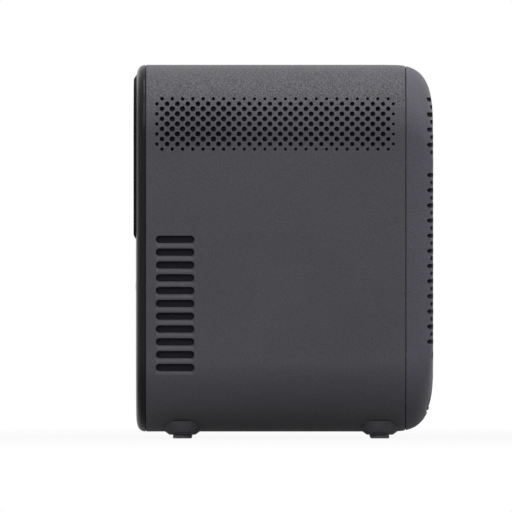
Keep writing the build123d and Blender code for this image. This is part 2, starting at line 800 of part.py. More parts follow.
with BuildPart() as lens_mount:
    block((-engine_x, engine_x), (flange_y, engine_y[0]), engine_span)
    bar("Y", (0, lens_z), mount_radius, (mount_y[0], flange_y))
    bar("Y", (0, lens_z), mount_radius + ring_shoulder, (ring_y[1] + run_gap, flange_y))
    bar("Y", (0, lens_z), mount_bore, (mount_y[0] - 1, engine_y[0] + 1), Mode.SUBTRACT)
write(lens_mount, "lens_mount")

with BuildPart() as lens_barrel:
    add(turned([
        (barrel_y[0], barrel_radius),
        (barrel_y[1], barrel_radius),
        (barrel_y[1], barrel_radius - barrel_wall),
        (barrel_y[0] + 8, barrel_radius - barrel_wall),
        (barrel_y[0] + 8, barrel_radius - barrel_wall - 1),
        (barrel_y[0] + 2, barrel_radius - barrel_wall - 1),
        (barrel_y[0] + 2, barrel_radius - barrel_wall),
        (barrel_y[0], barrel_radius - barrel_wall),
    ]))
write(lens_barrel, "lens_barrel")

with BuildPart() as lens_elements:
    glass_radius = barrel_radius - barrel_wall - shaft_gap
    add(lens(barrel_y[0] + 8 + 5.5, glass_radius, 2, 3.4))
    add(lens(barrel_y[1] - 2, glass_radius, 2, 5))
write(lens_elements, "lens_elements")

focus_reach = ring_module * (ring_teeth + focus_pinion_teeth) / 2
focus_at = (focus_reach * cos(radians(focus_angle)), lens_z + focus_reach * sin(radians(focus_angle)))
tooth_step = 360 / focus_pinion_teeth

with BuildPart() as focus_ring:
    add(gear(across(ring_y[1], (0, lens_z)), ring_module, ring_teeth, focus_angle, ring_y[1] - ring_y[0]))
    bar("Y", (0, lens_z), mount_radius + run_gap, (ring_y[0] - 1, ring_y[1] + 1), Mode.SUBTRACT)
write(focus_ring, "focus_ring")

with BuildPart() as focus_pinion:
    aim = focus_angle + 180 + tooth_step / 2
    add(gear(across(ring_y[1], focus_at), ring_module, focus_pinion_teeth, aim, ring_y[1] - ring_y[0]))
    bar("Y", focus_at, fan_shaft, (ring_y[1], ring_y[1] + 8))
write(focus_pinion, "focus_pinion")

with BuildPart() as focus_motor:
    bar("Y", focus_at, focus_motor_radius, (flange_y - focus_motor_length, flange_y))
    bar("Y", focus_at, fan_shaft + shaft_gap, (flange_y - focus_motor_length - 1, flange_y - 4), Mode.SUBTRACT)
write(focus_motor, "focus_motor")

with BuildPart() as led_module:
    block((-16, 16), (heatsink_y[0] - 1.6, heatsink_y[0]), (lens_z - 16, lens_z + 16))
    bar("Y", (0, lens_z), 7, (heatsink_y[0] - 3.4, heatsink_y[0] - 1.6))
write(led_module, "led_module")

with BuildPart() as heatsink:
    side = heatsink_side / 2
    block((-side, side), heatsink_y[:2], (lens_z - side, lens_z + side))
    fin_step = (heatsink_side - fin_thickness) / (fin_count - 1)
    for k in range(fin_count):
        x = -side + k * fin_step
        block((x, x + fin_thickness), heatsink_y[1:], (lens_z - side, lens_z + side))
write(heatsink, "heatsink")

fan_y = (heatsink_y[2], heatsink_y[2] + fan_depth)

with BuildPart() as fan_frame:
    with BuildSketch(across(fan_y[0])):
        with Locations((0, lens_z)):
            RectangleRounded(fan_side, fan_side, 4)
            Circle(fan_bore, mode=Mode.SUBTRACT)
    extrude(amount=-fan_depth)
    with BuildSketch(across(fan_y[1] - 1.5)):
        with Locations((0, lens_z)):
            Circle(fan_hub)
            for angle in (45, 135):
                Rectangle(2 * fan_bore + 2, 4, rotation=angle)
    extrude(amount=-1.5)
    bar("Y", (0, lens_z), 5, (fan_y[0] + 5, fan_y[1]))
    bar("Y", (0, lens_z), fan_shaft + shaft_gap, (fan_y[0], fan_y[1] - 1), Mode.SUBTRACT)
write(fan_frame, "fan_frame")

with BuildPart() as fan_rotor:
    rotor_y = (fan_y[0] + 1.5, fan_y[1] - 2.5)
    bar("Y", (0, lens_z), fan_hub, rotor_y)
    bar("Y", (0, lens_z), fan_hub - 2, (rotor_y[0] + 2, rotor_y[1] + 1), Mode.SUBTRACT)
    bar("Y", (0, lens_z), fan_shaft, (rotor_y[0], fan_y[1] - 2))
    reach = fan_bore - fan_gap
    for k in range(fan_blades):
        turn = 2 * pi * k / fan_blades
        root = Plane((0, sum(rotor_y) / 2, lens_z), x_dir=(0, 1, 0), z_dir=(sin(turn), 0, cos(turn)))
        with BuildSketch(root.offset(fan_hub - 0.5)):
            Rectangle(15, 1.4, rotation=50)
        extrude(amount=reach - fan_hub)
write(fan_rotor, "fan_rotor")

# ================================================================ the disc loader
with BuildPart() as loader_chassis:
    floor_z = loader_shelf_z + shelf_thickness
    floor_top_z = floor_z + chassis_floor
    block((-chassis_half, chassis_half), chassis_y, (floor_z, floor_top_z))
    for side in (-1, 1):
        inner = side * (chassis_half - chassis_wall)
        block(sorted((side * chassis_half, inner)), chassis_y, (floor_z, chassis_top_z))
        rail = sorted((inner, inner - side * rail_width))
        block(rail, chassis_y, (tray_z[0] - run_gap - 2.5, tray_z[0] - run_gap))
        block(sorted((inner, inner - side * 3)), chassis_y, (tray_z[1] + run_gap, tray_z[1] + run_gap + 1.5))
        bracket = sorted((side * (traverse_half + 2), side * (traverse_half + 6)))
        block(bracket, (traverse_axis[0] - 5, traverse_axis[0] + 5), (floor_top_z, traverse_axis[1] + 5))
        bar("X", traverse_axis, traverse_pin + 2 * shaft_gap, bracket, Mode.SUBTRACT)
    block((-chassis_half, chassis_half), (chassis_y[1] - chassis_wall, chassis_y[1]), (floor_z, tray_z[0] - run_gap))
    for at in (rack_gear_at, pulley_gear_at):
        shoulder_z = pulley_z[0] - run_gap if at == pulley_gear_at else gear_z[0] - run_gap
        bar("Z", at, 2 * axle_radius, (floor_top_z, shoulder_z))
        bar("Z", at, axle_radius, (floor_top_z, gear_z[1] + 1))
write(loader_chassis, "loader_chassis")

door_back_y = front_y + door_thickness

with BuildPart() as disc_tray:
    tray_middle = (door_back_y + tray_back_y) / 2
    with BuildSketch(Plane.XY.offset(tray_z[0])):
        with Locations((0, tray_middle)):
            Rectangle(2 * tray_half, tray_back_y - door_back_y)
    extrude(amount=tray_z[1] - tray_z[0])
    fillet(edges().filter_by(Axis.Z).group_by(Axis.Y)[-1], 6)
    bar("Z", (0, disc_y), disc_recess, (tray_z[1] - disc_recess_depth, tray_z[1] + 1), Mode.SUBTRACT)
    recess_z = tray_z[1] - disc_recess_depth - small_recess_depth
    bar("Z", (0, disc_y), small_recess, (recess_z, tray_z[1]), Mode.SUBTRACT)
    slot_span = (disc_y - tray_slot_front, tray_back_y + 1)
    block((-tray_slot_half, tray_slot_half), slot_span, (tray_z[0] - 1, tray_z[1] + 1), Mode.SUBTRACT)
    with BuildSketch(Plane.XY.offset(tray_z[0] - rack_depth)):
        with BuildLine():
            Polyline(*rack_points, close=True)
        make_face()
    extrude(amount=rack_depth)
write(disc_tray, "disc_tray")

with BuildPart() as tray_door:
    with BuildSketch(across(door_back_y)):
        with Locations((0, sum(door_z) / 2)):
            RectangleRounded(2 * door_half, door_z[1] - door_z[0], 1.5)
    extrude(amount=door_thickness)
    chamfer(faces().sort_by(Axis.Y)[0].outer_wire().edges(), 0.4)
write(tray_door, "tray_door")

with BuildPart() as rack_gear:
    add(gear(Plane((*rack_gear_at, gear_z[1])), rack_module, rack_pinion_teeth, 180, pinion_top_z - gear_z[1]))
    add(gear(Plane((*rack_gear_at, gear_z[0])), wheel_module, wheel_teeth, gear_angle, gear_z[1] - gear_z[0]))
    bar("Z", rack_gear_at, axle_radius + shaft_gap, (gear_z[0] - 1, gear_z[1] + 1 + shaft_gap), Mode.SUBTRACT)
write(rack_gear, "rack_gear")

with BuildPart() as pulley_gear:
    aim = gear_angle + 180 + 180 / small_teeth
    add(gear(Plane((*pulley_gear_at, gear_z[0])), wheel_module, small_teeth, aim, gear_z[1] - gear_z[0]))
    bar("Z", pulley_gear_at, pulley_radius, pulley_z)
    bar("Z", pulley_gear_at, 3.2, (pulley_z[1], gear_z[0]))
    for z in (pulley_z[0], pulley_z[1] - pulley_rim):
        bar("Z", pulley_gear_at, pulley_radius + 0.8, (z, z + pulley_rim))
    bar("Z", pulley_gear_at, axle_radius + shaft_gap, (pulley_z[0] - 1, gear_z[1] + 1), Mode.SUBTRACT)
write(pulley_gear, "pulley_gear")

with BuildPart() as motor_pulley:
    bar("Z", motor_at, motor_pulley_radius, pulley_z)
    for z in (pulley_z[0], pulley_z[1] - pulley_rim):
        bar("Z", motor_at, motor_pulley_radius + 1, (z, z + pulley_rim))
    bar("Z", motor_at, motor_shaft, (motor_top_z - 3, pulley_z[0]))
write(motor_pulley, "motor_pulley")

with BuildPart() as loading_motor:
    bar("Z", motor_at, motor_radius, (floor_top_z, motor_top_z))
    bar("Z", motor_at, motor_shaft + shaft_gap, (motor_top_z - 3.5, motor_top_z), Mode.SUBTRACT)
write(loading_motor, "loading_motor")


def belt_face(extra):
    """The area inside a loop round the two pulleys, a little away from them."""
    with BuildSketch() as face:
        with Locations(pulley_gear_at):
            Circle(pulley_radius + extra)
        with Locations(motor_at):
            Circle(motor_pulley_radius + extra)
        make_hull()
    return face.sketch


belt_outside = belt_face(belt_gap + belt_thickness)
belt_inside = belt_face(belt_gap)

with BuildPart() as drive_belt:
    with BuildSketch(Plane.XY.offset(belt_z[0])):
        add(belt_outside)
        add(belt_inside, mode=Mode.SUBTRACT)
    extrude(amount=belt_z[1] - belt_z[0])
write(drive_belt, "drive_belt")

# ---------------------------------------------------------------- the traverse, which lifts the disc
window_x, window_y = traverse_window
post_ys = ((window_y[0] - bearing_depth, window_y[0]), (window_y[1], window_y[1] + bearing_depth))
bearing_bottom_z = traverse_z[1] - 0.5

with BuildPart() as traverse_frame:
    block((-traverse_half, traverse_half), traverse_y, traverse_z)
    block(window_x, window_y, (traverse_z[0] - 1, traverse_z[1] + 1), Mode.SUBTRACT)
    for post_y in post_ys:
        for x in (-guide_x, guide_x, screw_line_x):
            block((x - 3, x + 3), post_y, (bearing_bottom_z, bearing_top_z))
        for x in (-guide_x, guide_x):
            bar("Y", (x, guide_z), guide_radius, post_y, Mode.SUBTRACT)
        bar("Y", (screw_line_x, guide_z), lead_radius + shaft_gap, post_y, Mode.SUBTRACT)
    for side in (-1, 1):
        pin = sorted((side * (traverse_half - 2), side * (traverse_half + 6)))
        block(sorted((side * (traverse_half - 4), side * traverse_half)), (traverse_axis[0] - 4, traverse_axis[0] + 4),
              (traverse_z[0], traverse_axis[1] + 3))
        bar("X", traverse_axis, traverse_pin, pin)
write(traverse_frame, "traverse_frame")

with BuildPart() as guide_rods:
    for x in (-guide_x, guide_x):
        bar("Y", (x, guide_z), guide_radius, (post_ys[0][0], post_ys[1][1]))
write(guide_rods, "guide_rods")

with BuildPart() as lead_screw:
    bar("Y", (screw_line_x, guide_z), lead_radius, (post_ys[0][0] - 3, post_ys[1][1]))
write(lead_screw, "lead_screw")

with BuildPart() as sled_motor:
    sled_y = (post_ys[0][0] - 14, post_ys[0][0])
    bar("Y", (screw_line_x, guide_z), sled_radius, sled_y)
    bar("Y", (screw_line_x, guide_z), lead_radius + shaft_gap, (sled_y[1] - 4, sled_y[1] + 1), Mode.SUBTRACT)
write(sled_motor, "sled_motor")

with BuildPart() as spindle_motor:
    bar("Z", (0, disc_y), spindle_radius, (traverse_z[1], spindle_top_z))
    bar("Z", (0, disc_y), 1 + shaft_gap, (traverse_z[1] + 1, spindle_top_z + 1), Mode.SUBTRACT)
write(spindle_motor, "spindle_motor")

with BuildPart() as turntable:
    foot_z, plate_z, plate_top_z, cone_z = turntable_z
    bar("Z", (0, disc_y), 1, (traverse_z[1] + 2, plate_z))
    bar("Z", (0, disc_y), 5, (foot_z, plate_z))
    bar("Z", (0, disc_y), turntable_radius, (plate_z, plate_top_z))
    with Locations((0, disc_y, (plate_top_z + cone_z) / 2)):
        Cone(cone_radius, cone_radius - 1.2, cone_z - plate_top_z)
write(turntable, "turntable")

pickup_y = disc_y + pickup_inner

with BuildPart() as pickup:
    block((-pickup_half[0], pickup_half[0]), (pickup_y - pickup_half[1], pickup_y + pickup_half[1]), pickup_z)
    block((pickup_half[0] - 1, screw_line_x + 2.5), (pickup_y - 4, pickup_y + 4), (guide_z - 2.5, guide_z + 2.5))
    for x in (-guide_x, guide_x):
        bar("Y", (x, guide_z), guide_radius + shaft_gap, (pickup_y - 20, pickup_y + 20), Mode.SUBTRACT)
    bar("Y", (screw_line_x, guide_z), lead_radius + shaft_gap, (pickup_y - 20, pickup_y + 20), Mode.SUBTRACT)
    block((-7, 7), (pickup_y - 6, pickup_y + 6), (pickup_z[1] - 3, pickup_z[1] + 1), Mode.SUBTRACT)
write(pickup, "pickup")

with BuildPart() as pickup_lens:
    block((-5, 5), (pickup_y - 4.5, pickup_y + 4.5), (pickup_z[1] - 2.2, pickup_z[1] + 0.6))
    bar("Z", (0, pickup_y), 2.6, (pickup_z[1] + 0.6, pickup_z[1] + 1.6))
write(pickup_lens, "pickup_lens")

with BuildPart() as clamp_bridge:
    strip_half, strip_thickness = clamp_strip
    strip_top_z = chassis_top_z + strip_thickness
    block((-chassis_half, chassis_half), (disc_y - strip_half, disc_y + strip_half), (chassis_top_z, strip_top_z))
    bar("Z", (0, disc_y), clamp_neck + run_gap, (chassis_top_z - 1, strip_top_z + 1), Mode.SUBTRACT)
write(clamp_bridge, "clamp_bridge")

with BuildPart() as clamp_puck:
    bar("Z", (0, disc_y), clamp_radius, clamp_z[:2])
    bar("Z", (0, disc_y), clamp_neck, clamp_z[1:3])
    bar("Z", (0, disc_y), clamp_neck + 2, clamp_z[2:])
write(clamp_puck, "clamp_puck")

# ================================================================ the lower bay
board_top_z = board_z + board_thickness

for side, name in ((1, "main_board"), (-1, "power_board")):
    with BuildPart() as board:
        block(sorted((side * board_x[0], side * board_x[1])), board_y, (board_z, board_top_z))
        for x, _ in board_posts:
            for y in board_post_ys:
                bar("Z", (side * x, y), screw_radius + screw_gap, (board_z - 1, board_top_z + 1), Mode.SUBTRACT)
    write(board, name)

with BuildPart() as board_parts:
    block((22, 44), (0, 22), (board_top_z, board_top_z + 8))
    block((14, 26), (30, 42), (board_top_z, board_top_z + 2))
    block((-44, -20), (10, 38), (board_top_z, board_top_z + 20))
    for y in (-24, -8):
        bar("Z", (-34, y), 6, (board_top_z, board_top_z + 18))
        bar("Z", (32, y), 3, (board_top_z, board_top_z + 8))
write(board_parts, "board_parts")

with BuildPart() as io_ports:
    for x, z, width, height in ports[1:]:
        span = (x - width / 2, x + width / 2)
        block(span, (board_y[1] - socket_shell, tub_floor_y - tub_wall), (board_top_z, z + height / 2))
        block(span, (tub_floor_y - tub_wall, tub_floor_y), (z - height / 2, z + height / 2))
    for x, z, width, height in ports[1:]:
        socket_y = (tub_floor_y - socket_depth, tub_floor_y + 1)
        if width == height:
            bar("Y", (x, z), socket_bore, socket_y, Mode.SUBTRACT)
        else:
            inside_x = (x - width / 2 + socket_wall[0], x + width / 2 - socket_wall[0])
            inside_z = (z - height / 2 + socket_wall[1], z + height / 2 - socket_wall[1])
            block(inside_x, socket_y, inside_z, Mode.SUBTRACT)
write(io_ports, "io_ports")

with BuildPart() as ac_inlet:
    x, z, width, height = ports[0]
    block((x - width / 2, x + width / 2), (tub_floor_y - 12, tub_floor_y), (z - height / 2, z + height / 2))
    block((x - 7, x + 7), (tub_floor_y - 8, tub_floor_y + 1), (z - 3.5, z + 3.5), Mode.SUBTRACT)
    for pin_x in (x - 3.5, x + 3.5):
        bar("Y", (pin_x, z), 1.1, (tub_floor_y - 9, tub_floor_y - 1))
write(ac_inlet, "ac_inlet")

with BuildPart() as half_speaker:
    block(speaker_x, speaker_y, speaker_z)
    with BuildSketch(Plane.YZ.offset(speaker_x[1])):
        with Locations((sum(speaker_y) / 2, sum(speaker_z) / 2)):
            SlotOverall(speaker_z[1] - speaker_z[0] - 4, speaker_y[1] - speaker_y[0] - 4, rotation=90)
    extrude(amount=-(speaker_x[1] - speaker_x[0] - 2), mode=Mode.SUBTRACT)
    bar("X", (sum(speaker_y) / 2, sum(speaker_z) / 2), magnet_radius, (speaker_x[0] - 9, speaker_x[0]))

with BuildPart() as speakers:
    add(half_speaker.part)
    mirror(about=Plane.YZ)
write(speakers, "speakers")

with BuildPart() as half_cone:
    with BuildSketch(Plane.YZ.offset(speaker_x[1] - 1.5)):
        with Locations((sum(speaker_y) / 2, sum(speaker_z) / 2)):
            SlotOverall(speaker_z[1] - speaker_z[0] - 4.2, speaker_y[1] - speaker_y[0] - 4.2, rotation=90)
    extrude(amount=-6.9)

with BuildPart() as speaker_cones:
    add(half_cone.part)
    mirror(about=Plane.YZ)
write(speaker_cones, "speaker_cones")
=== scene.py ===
"""Looks of the upright disc projector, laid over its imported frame.

Shapes are worked out in millimetres, in the frame's axes: +Z up, lens towards -Y, photographed side at +X.
They become metres when a piece is finished.
"""

import json

import bpy
import numpy as np
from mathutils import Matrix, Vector
from mathutils.geometry import delaunay_2d_cdt


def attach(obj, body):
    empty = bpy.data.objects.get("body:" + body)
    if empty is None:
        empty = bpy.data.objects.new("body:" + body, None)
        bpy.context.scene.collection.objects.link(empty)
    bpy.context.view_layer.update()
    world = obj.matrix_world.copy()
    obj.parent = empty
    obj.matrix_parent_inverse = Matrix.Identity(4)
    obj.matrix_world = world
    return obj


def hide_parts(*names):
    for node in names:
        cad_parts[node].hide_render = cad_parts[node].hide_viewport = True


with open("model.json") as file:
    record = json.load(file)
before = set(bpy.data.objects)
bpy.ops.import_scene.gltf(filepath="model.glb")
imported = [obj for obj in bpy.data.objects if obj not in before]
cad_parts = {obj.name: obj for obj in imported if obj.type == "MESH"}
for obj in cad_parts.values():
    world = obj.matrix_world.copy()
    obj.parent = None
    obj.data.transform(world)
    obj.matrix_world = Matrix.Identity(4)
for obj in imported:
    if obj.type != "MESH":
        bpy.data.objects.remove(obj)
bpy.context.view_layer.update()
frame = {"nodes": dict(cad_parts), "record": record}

# ------------------------------------------------------------------ sizes of the case
body_width, body_depth, body_height, body_corner = 156.0, 178.0, 220.0, 42.0
plate_proud = 1.4
front_y = plate_proud - (body_depth + plate_proud) / 2
back_y = front_y + body_depth
base_z = 4.0
top_z = base_z + body_height
middle_z = base_z + body_height / 2
wall, fascia_wall, face_wall = 2.5, 1.6, 2.4
front_seam_y = front_y + 5.8
rear_seam_y = back_y - 16.5
seam_gap = 0.12
inner_front_y = front_y + 2.0  # the inner skin goes no nearer to the front than this

# how far before the back and behind the front the section draws in, by how much, and the superellipse's power
back_blend, back_turn_x, back_turn_z, back_power, back_corner = 28.0, 11.0, 40.0, 3.2, 12.0
front_blend, front_turn, front_power = 6.6, 13.2, 3.2

vent_columns, vent_rows = 47, 11
vent_step_y, vent_step_z = 3.075, 3.01
vent_y, vent_z = front_y + 12.6, top_z - 20.7
vent_radii, vent_large_columns, vent_large_extra = (0.92, 1.3, 1.48), 15, 0.13

slot_count, slot_step, slot_length, slot_height = 11, 7.66, 23.0, 4.3
slot_middle_y, slot_top_z = front_y + 12.0 + slot_length / 2, 119.3

grille_rows, grille_step, grille_top_z = 33, 4.53, 202.9
grille_length, grille_height, grille_pitch = 15.3, 2.7, 18.12
grille_end_depths = (3.6, 1.8)
screw_xs, screw_zs, screw_hole, screw_room, grille_end_by_screw = (-68, 68), (50, 165), 2.6, 5.5, 62.5
tub_half, tub_low, tub_high, tub_corner, panel_gap = 50.0, 17.0, 42.0, 0.8, 0.2  # the window of the port panel

key_xs, key_y, key_length, key_width, key_gap, key_dip = (-28, -14, 0, 14, 28), -55.0, 9.0, 6.0, 0.25, 0.12
strip_border, strip_depth, strip_thickness = 4.0, 0.6, 1.9

foot_x, foot_ys, foot_radius, foot_height = 48.0, (-60.5, 57.8), 5.65, 2.2
foot_cone = [(foot_height, 0), (foot_height, 7.8), (base_z, 10.3), (10.5, 12.0), (10.5, 0)]  # height, radius
foot_pad = [(foot_height, 0), (foot_height, foot_radius), (0.0, foot_radius)]  # height, radius
foot_pad += [(0.0, 3.4), (0.45, 3.1), (0.45, 2.3), (0.0, 2.0), (0.0, 0)]

plate_margin, plate_seat = 6.2, 0.8
plate_half, plate_bottom_z, plate_top_z = body_width / 2 - plate_margin, 119.3, top_z - plate_margin
plate_high_corner, plate_low_corner = body_corner - plate_margin, 5.0
lens_z, aperture = 169.0, 31.0
door_half, door_low, door_high, door_corner, door_thickness, door_gap = 67.2, 99.9, 113.4, 1.6, 2.5, 0.5
eject_at, eject_size, light_at, light_hole = (52.0, 91.0), (12.0, 5.0), (38.0, 91.0), 1.05
from_top, from_front, from_back = np.array([[0, 0, -1.0], [0, 1.0, 0], [0, -1.0, 0]])  # the ways that holes run
none = np.empty((0, 2))  # the seeds of a sheet that needs no points between its outlines


# ------------------------------------------------------------------ making meshes
def unit(vectors):
    """Vectors divided by their own lengths."""
    return vectors / np.maximum(np.linalg.norm(vectors, axis=-1, keepdims=True), 1e-12)


class Shape:
    """Patches of triangles, each point with its own normal, that are welded into one mesh."""

    def __init__(self):
        self.points, self.normals, self.triangles, self.zones, self.count = [], [], [], [], 0

    def add(self, points, normals, triangles, zone=0):
        """One patch, whose triangles all go round the same way. The patch is turned to face its normals."""
        points, normals = points.reshape(-1, 3), unit(normals.reshape(-1, 3))
        corners = points[triangles]
        facing = np.cross(corners[:, 1] - corners[:, 0], corners[:, 2] - corners[:, 0])
        if (facing * normals[triangles].mean(1)).sum() < 0:
            triangles = triangles[:, ::-1]
        self.points.append(points)
        self.normals.append(normals)
        self.triangles.append(triangles + self.count)
        self.zones.append(np.full(len(triangles), zone))
        self.count += len(points)

    def finish(self, name, body, finishes, replaces=(), slot=None):
        """Welds the patches, drops flat triangles and makes the object, in metres."""
        points, normals = np.concatenate(self.points), np.concatenate(self.normals)
        triangles, zones = np.concatenate(self.triangles), np.concatenate(self.zones)
        _, first, welded = np.unique(np.round(points, 3), axis=0, return_index=True, return_inverse=True)
        joined = welded.reshape(-1)[triangles]
        kept = (joined[:, 0] != joined[:, 1]) & (joined[:, 1] != joined[:, 2]) & (joined[:, 2] != joined[:, 0])
        joined, triangles, zones = joined[kept], triangles[kept], zones[kept]
        mesh = bpy.data.meshes.new(name)
        mesh.from_pydata((points[first] * 0.001).tolist(), [], joined.tolist())
        mesh.polygons.foreach_set("use_smooth", np.ones(len(joined), bool))
        mesh.polygons.foreach_set("material_index", zones.astype(np.int32))
        for finish in finishes:
            mesh.materials.append(finish)
        mesh.normals_split_custom_set(normals[triangles].reshape(-1, 3).tolist())
        piece = bpy.data.objects.new(name, mesh)
        bpy.context.scene.collection.objects.link(piece)
        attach(piece, body)
        if replaces:
            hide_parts(*replaces)
        return piece


def lifted_normals(flat, lift):
    """Normals of a lifted sheet, from the cross product of its slopes over a hundredth of a millimetre."""
    step = 0.01
    along = lift(flat + [step, 0]) - lift(flat - [step, 0])
    across = lift(flat + [0, step]) - lift(flat - [0, step])
    return unit(np.cross(along, across))


def sheet(shape, boundary, seeds, lift, side, holes=(), thickness=0.0, inner=None):
    """A sheet with holes: a Delaunay mesh of a flat domain, lifted into space.

    boundary is the domain's convex outline and seeds are points inside it. Each entry of holes is a stack of
    convex outlines, the same outlines at the mouth of the wall, the direction and length of the wall below, and,
    where the rim isn't a quarter circle, its depth as a share of its width. Triangles with all corners on one hole
    are left out. Normals are the lift's slopes' cross product times side. A thickness adds the back, the same mesh
    moved in along its normals, or put where inner says, and ending at the walls.
    """
    loops = [boundary] + [loop for wide, *_ in holes for loop in wide]
    sizes = np.array([len(loop) for loop in loops])
    ends = np.cumsum(sizes)
    ring = np.arange(ends[-1])
    after, least = ring + 1, 1e-6
    after[ends - 1] = ends - sizes
    flat = np.concatenate(loops + [seeds]) if len(seeds) else np.concatenate(loops)
    owner = np.concatenate([np.repeat(np.arange(len(loops)), sizes), -1 - np.arange(len(seeds))])
    made = delaunay_2d_cdt([Vector(p) for p in flat], np.stack([ring, after], 1).tolist(), [], 0, least)
    source = np.array([origin[0] for origin in made[3]])
    triangles = source[np.array(made[2])]
    first, second, third = owner[triangles].T
    triangles = triangles[(first != second) | (second != third) | (first < 1)]
    points, normals = lift(flat), side * lifted_normals(flat, lift)
    shape.add(points, normals, triangles)
    back = points - normals * thickness
    back = inner(flat, back) if inner else back
    start = len(boundary)
    for wide, tight, drill, depth, *share in holes:
        count, size = wide.shape[:2]
        here = slice(start, start + count * size)
        start += count * size
        face = points[here].reshape(count, size, 3)
        below = lift(tight.reshape(-1, 2)).reshape(count, size, 3)
        drop = np.linalg.norm(below - face, axis=-1, keepdims=True) * drill * (share[0] if share else 1)
        walls = unit(np.cross(np.roll(below, -1, 1) - np.roll(below, 1, 1), drill))
        walls *= np.sign((walls * (below.mean(1, keepdims=True) - below)).sum((1, 2), keepdims=True))
        facing = normals[here].reshape(count, size, 3)
        end = below + drop + drill * depth
        turns = np.linspace(0, np.pi / 2, 6 if share else 3)  # more rows for a wide scoop than for a rim
        rows = [face + (below - face) * np.sin(turn) + drop * (1 - np.cos(turn)) for turn in turns] + [end]
        leans = [facing * np.cos(turn) + walls * np.sin(turn) for turn in turns] + [walls]
        for high, low, lean_high, lean_low in zip(rows, rows[1:], leans, leans[1:]):
            index = np.arange(2 * count * size).reshape(2, count, size)
            a, b = index
            c, d = np.roll(b, -1, 1), np.roll(a, -1, 1)
            faces = np.concatenate([np.stack([a, b, c], -1), np.stack([a, c, d], -1)]).reshape(-1, 3)
            shape.add(np.stack([high, low]), np.stack([lean_high, lean_low]), faces)
        back[here] = end.reshape(-1, 3)
    if thickness:
        shape.add(back, -normals, triangles)


def strip(shape, depths, lift, side, thickness, ways=None):
    """A band right round the body: a grid over depth and way round, lifted, with the body's skin drawn in by a
    thickness as its back."""
    flat = np.stack(np.meshgrid(depths, girth_samples() if ways is None else ways, indexing="ij"), -1)
    rows, columns = flat.shape[:2]
    flat, index = flat.reshape(-1, 2), np.arange(rows * columns).reshape(rows, columns)
    a, b, c, d = index[:-1, :-1], index[1:, :-1], index[1:, 1:], index[:-1, 1:]
    faces = np.concatenate([np.stack([a, b, c], -1).reshape(-1, 3), np.stack([a, c, d], -1).reshape(-1, 3)])
    points, normals = lift(flat), side * lifted_normals(flat, lift)
    shape.add(points, normals, faces)
    shape.add(around(flat[:, 1], np.maximum(flat[:, 0], inner_front_y), thickness), -normals, faces)


def skin(shape, rows, side, zone=0):
    """A surface through closed loops of equally many points, row after row. Each band between two rows has its
    own normals, and where two bands meet at less than about 35 degrees they share the mean."""
    same_sweep = 0.82  # cosine of that angle
    around_row = np.roll(rows, -1, 1) - np.roll(rows, 1, 1)
    down = rows[1:] - rows[:-1]
    bands = side * unit(np.cross(down, around_row[:-1] + around_row[1:]))
    shared = np.concatenate([bands[:1], bands[:-1] + bands[1:], bands[-1:]])
    smooth = (bands[:-1] * bands[1:]).sum(-1, keepdims=True) > same_sweep
    high = np.concatenate([bands[:1], np.where(smooth, shared[1:-1], bands[1:])])
    low = np.concatenate([np.where(smooth, shared[1:-1], bands[:-1]), bands[-1:]])
    count = rows.shape[1]
    a, b = np.arange(2 * count).reshape(2, count)
    c, d = np.roll(b, -1), np.roll(a, -1)
    faces = np.concatenate([np.stack([a, b, c], -1), np.stack([a, c, d], -1)])
    for k in range(len(rows) - 1):
        shape.add(rows[k : k + 2], np.stack([high[k], low[k]]), faces, zone)


def softened(profile, radius, count=4):
    """A polyline whose inner corners are rounded: each becomes a short quadratic curve between the points that
    lie a radius away along its two sides, or a third of a shorter side."""
    profile = np.asarray(profile, float)
    reach = np.linalg.norm(np.diff(profile, axis=0), axis=1)
    share, most = np.linspace(0, 1, count)[:, None], 0.33
    made = [profile[:1]]
    for k in range(1, len(profile) - 1):
        before, here, after = profile[k - 1 : k + 2]
        start = here + (before - here) * min(radius / reach[k - 1], most)
        end = here + (after - here) * min(radius / reach[k], most)
        made.append((1 - share) ** 2 * start + 2 * share * (1 - share) * here + share**2 * end)
    return np.concatenate(made + [profile[-1:]])


def lathe(profile, centre, axis, count=96):
    """Loops of a turned form: each point of the profile is a place along the axis, 1 for Y or 2 for Z, and a
    radius round the centre's two other coordinates."""
    turn = 2 * np.pi * np.arange(count) / count
    along, radius = np.asarray(profile, float).T
    first = centre[0] + radius[:, None] * np.cos(turn)
    second = centre[1] + radius[:, None] * np.sin(turn)
    level = np.broadcast_to(along[:, None], first.shape)
    return np.stack((first, level, second) if axis == 1 else (first, second, level), -1)


def drawn_in(outline, profile, place):
    """Loops of a moulding: for each point of the profile, an inset and a level, the outline drawn in by the
    inset and put into space by place."""
    return np.stack([place(outline(inset), level) for inset, level in profile])


def facing_front(flat, y):
    """Points drawn across and up, put at depth y."""
    return np.stack([flat[:, 0], np.full(len(flat), float(y)), flat[:, 1]], 1)


def facing_up(flat, z):
    """Points drawn across and back, put at height z."""
    return np.stack([flat[:, 0], flat[:, 1], np.full(len(flat), float(z))], 1)


def circle(radius, count=24):
    """Points round a circle about the origin."""
    turn = 2 * np.pi * np.arange(count) / count
    return np.stack([radius * np.cos(turn), radius * np.sin(turn)], 1)


def rounded(half_width, half_height, radii, count=10):
    """A rectangle about the origin whose corners are quarter circles, with one radius each from lower left."""
    corners = []
    for k, (side, level) in enumerate(((-1, -1), (1, -1), (1, 1), (-1, 1))):
        turn = np.radians(180 + 90 * k + np.linspace(0, 90, count))
        centre = (side * (half_width - radii[k]), level * (half_height - radii[k]))
        corners.append(np.stack([centre[0] + radii[k] * np.cos(turn), centre[1] + radii[k] * np.sin(turn)], 1))
    return np.concatenate(corners)


def stadium(length, height, count=9):
    """A slot about the origin with round ends."""
    return rounded(length / 2, height / 2, [height / 2 - 1e-4] * 4, count)


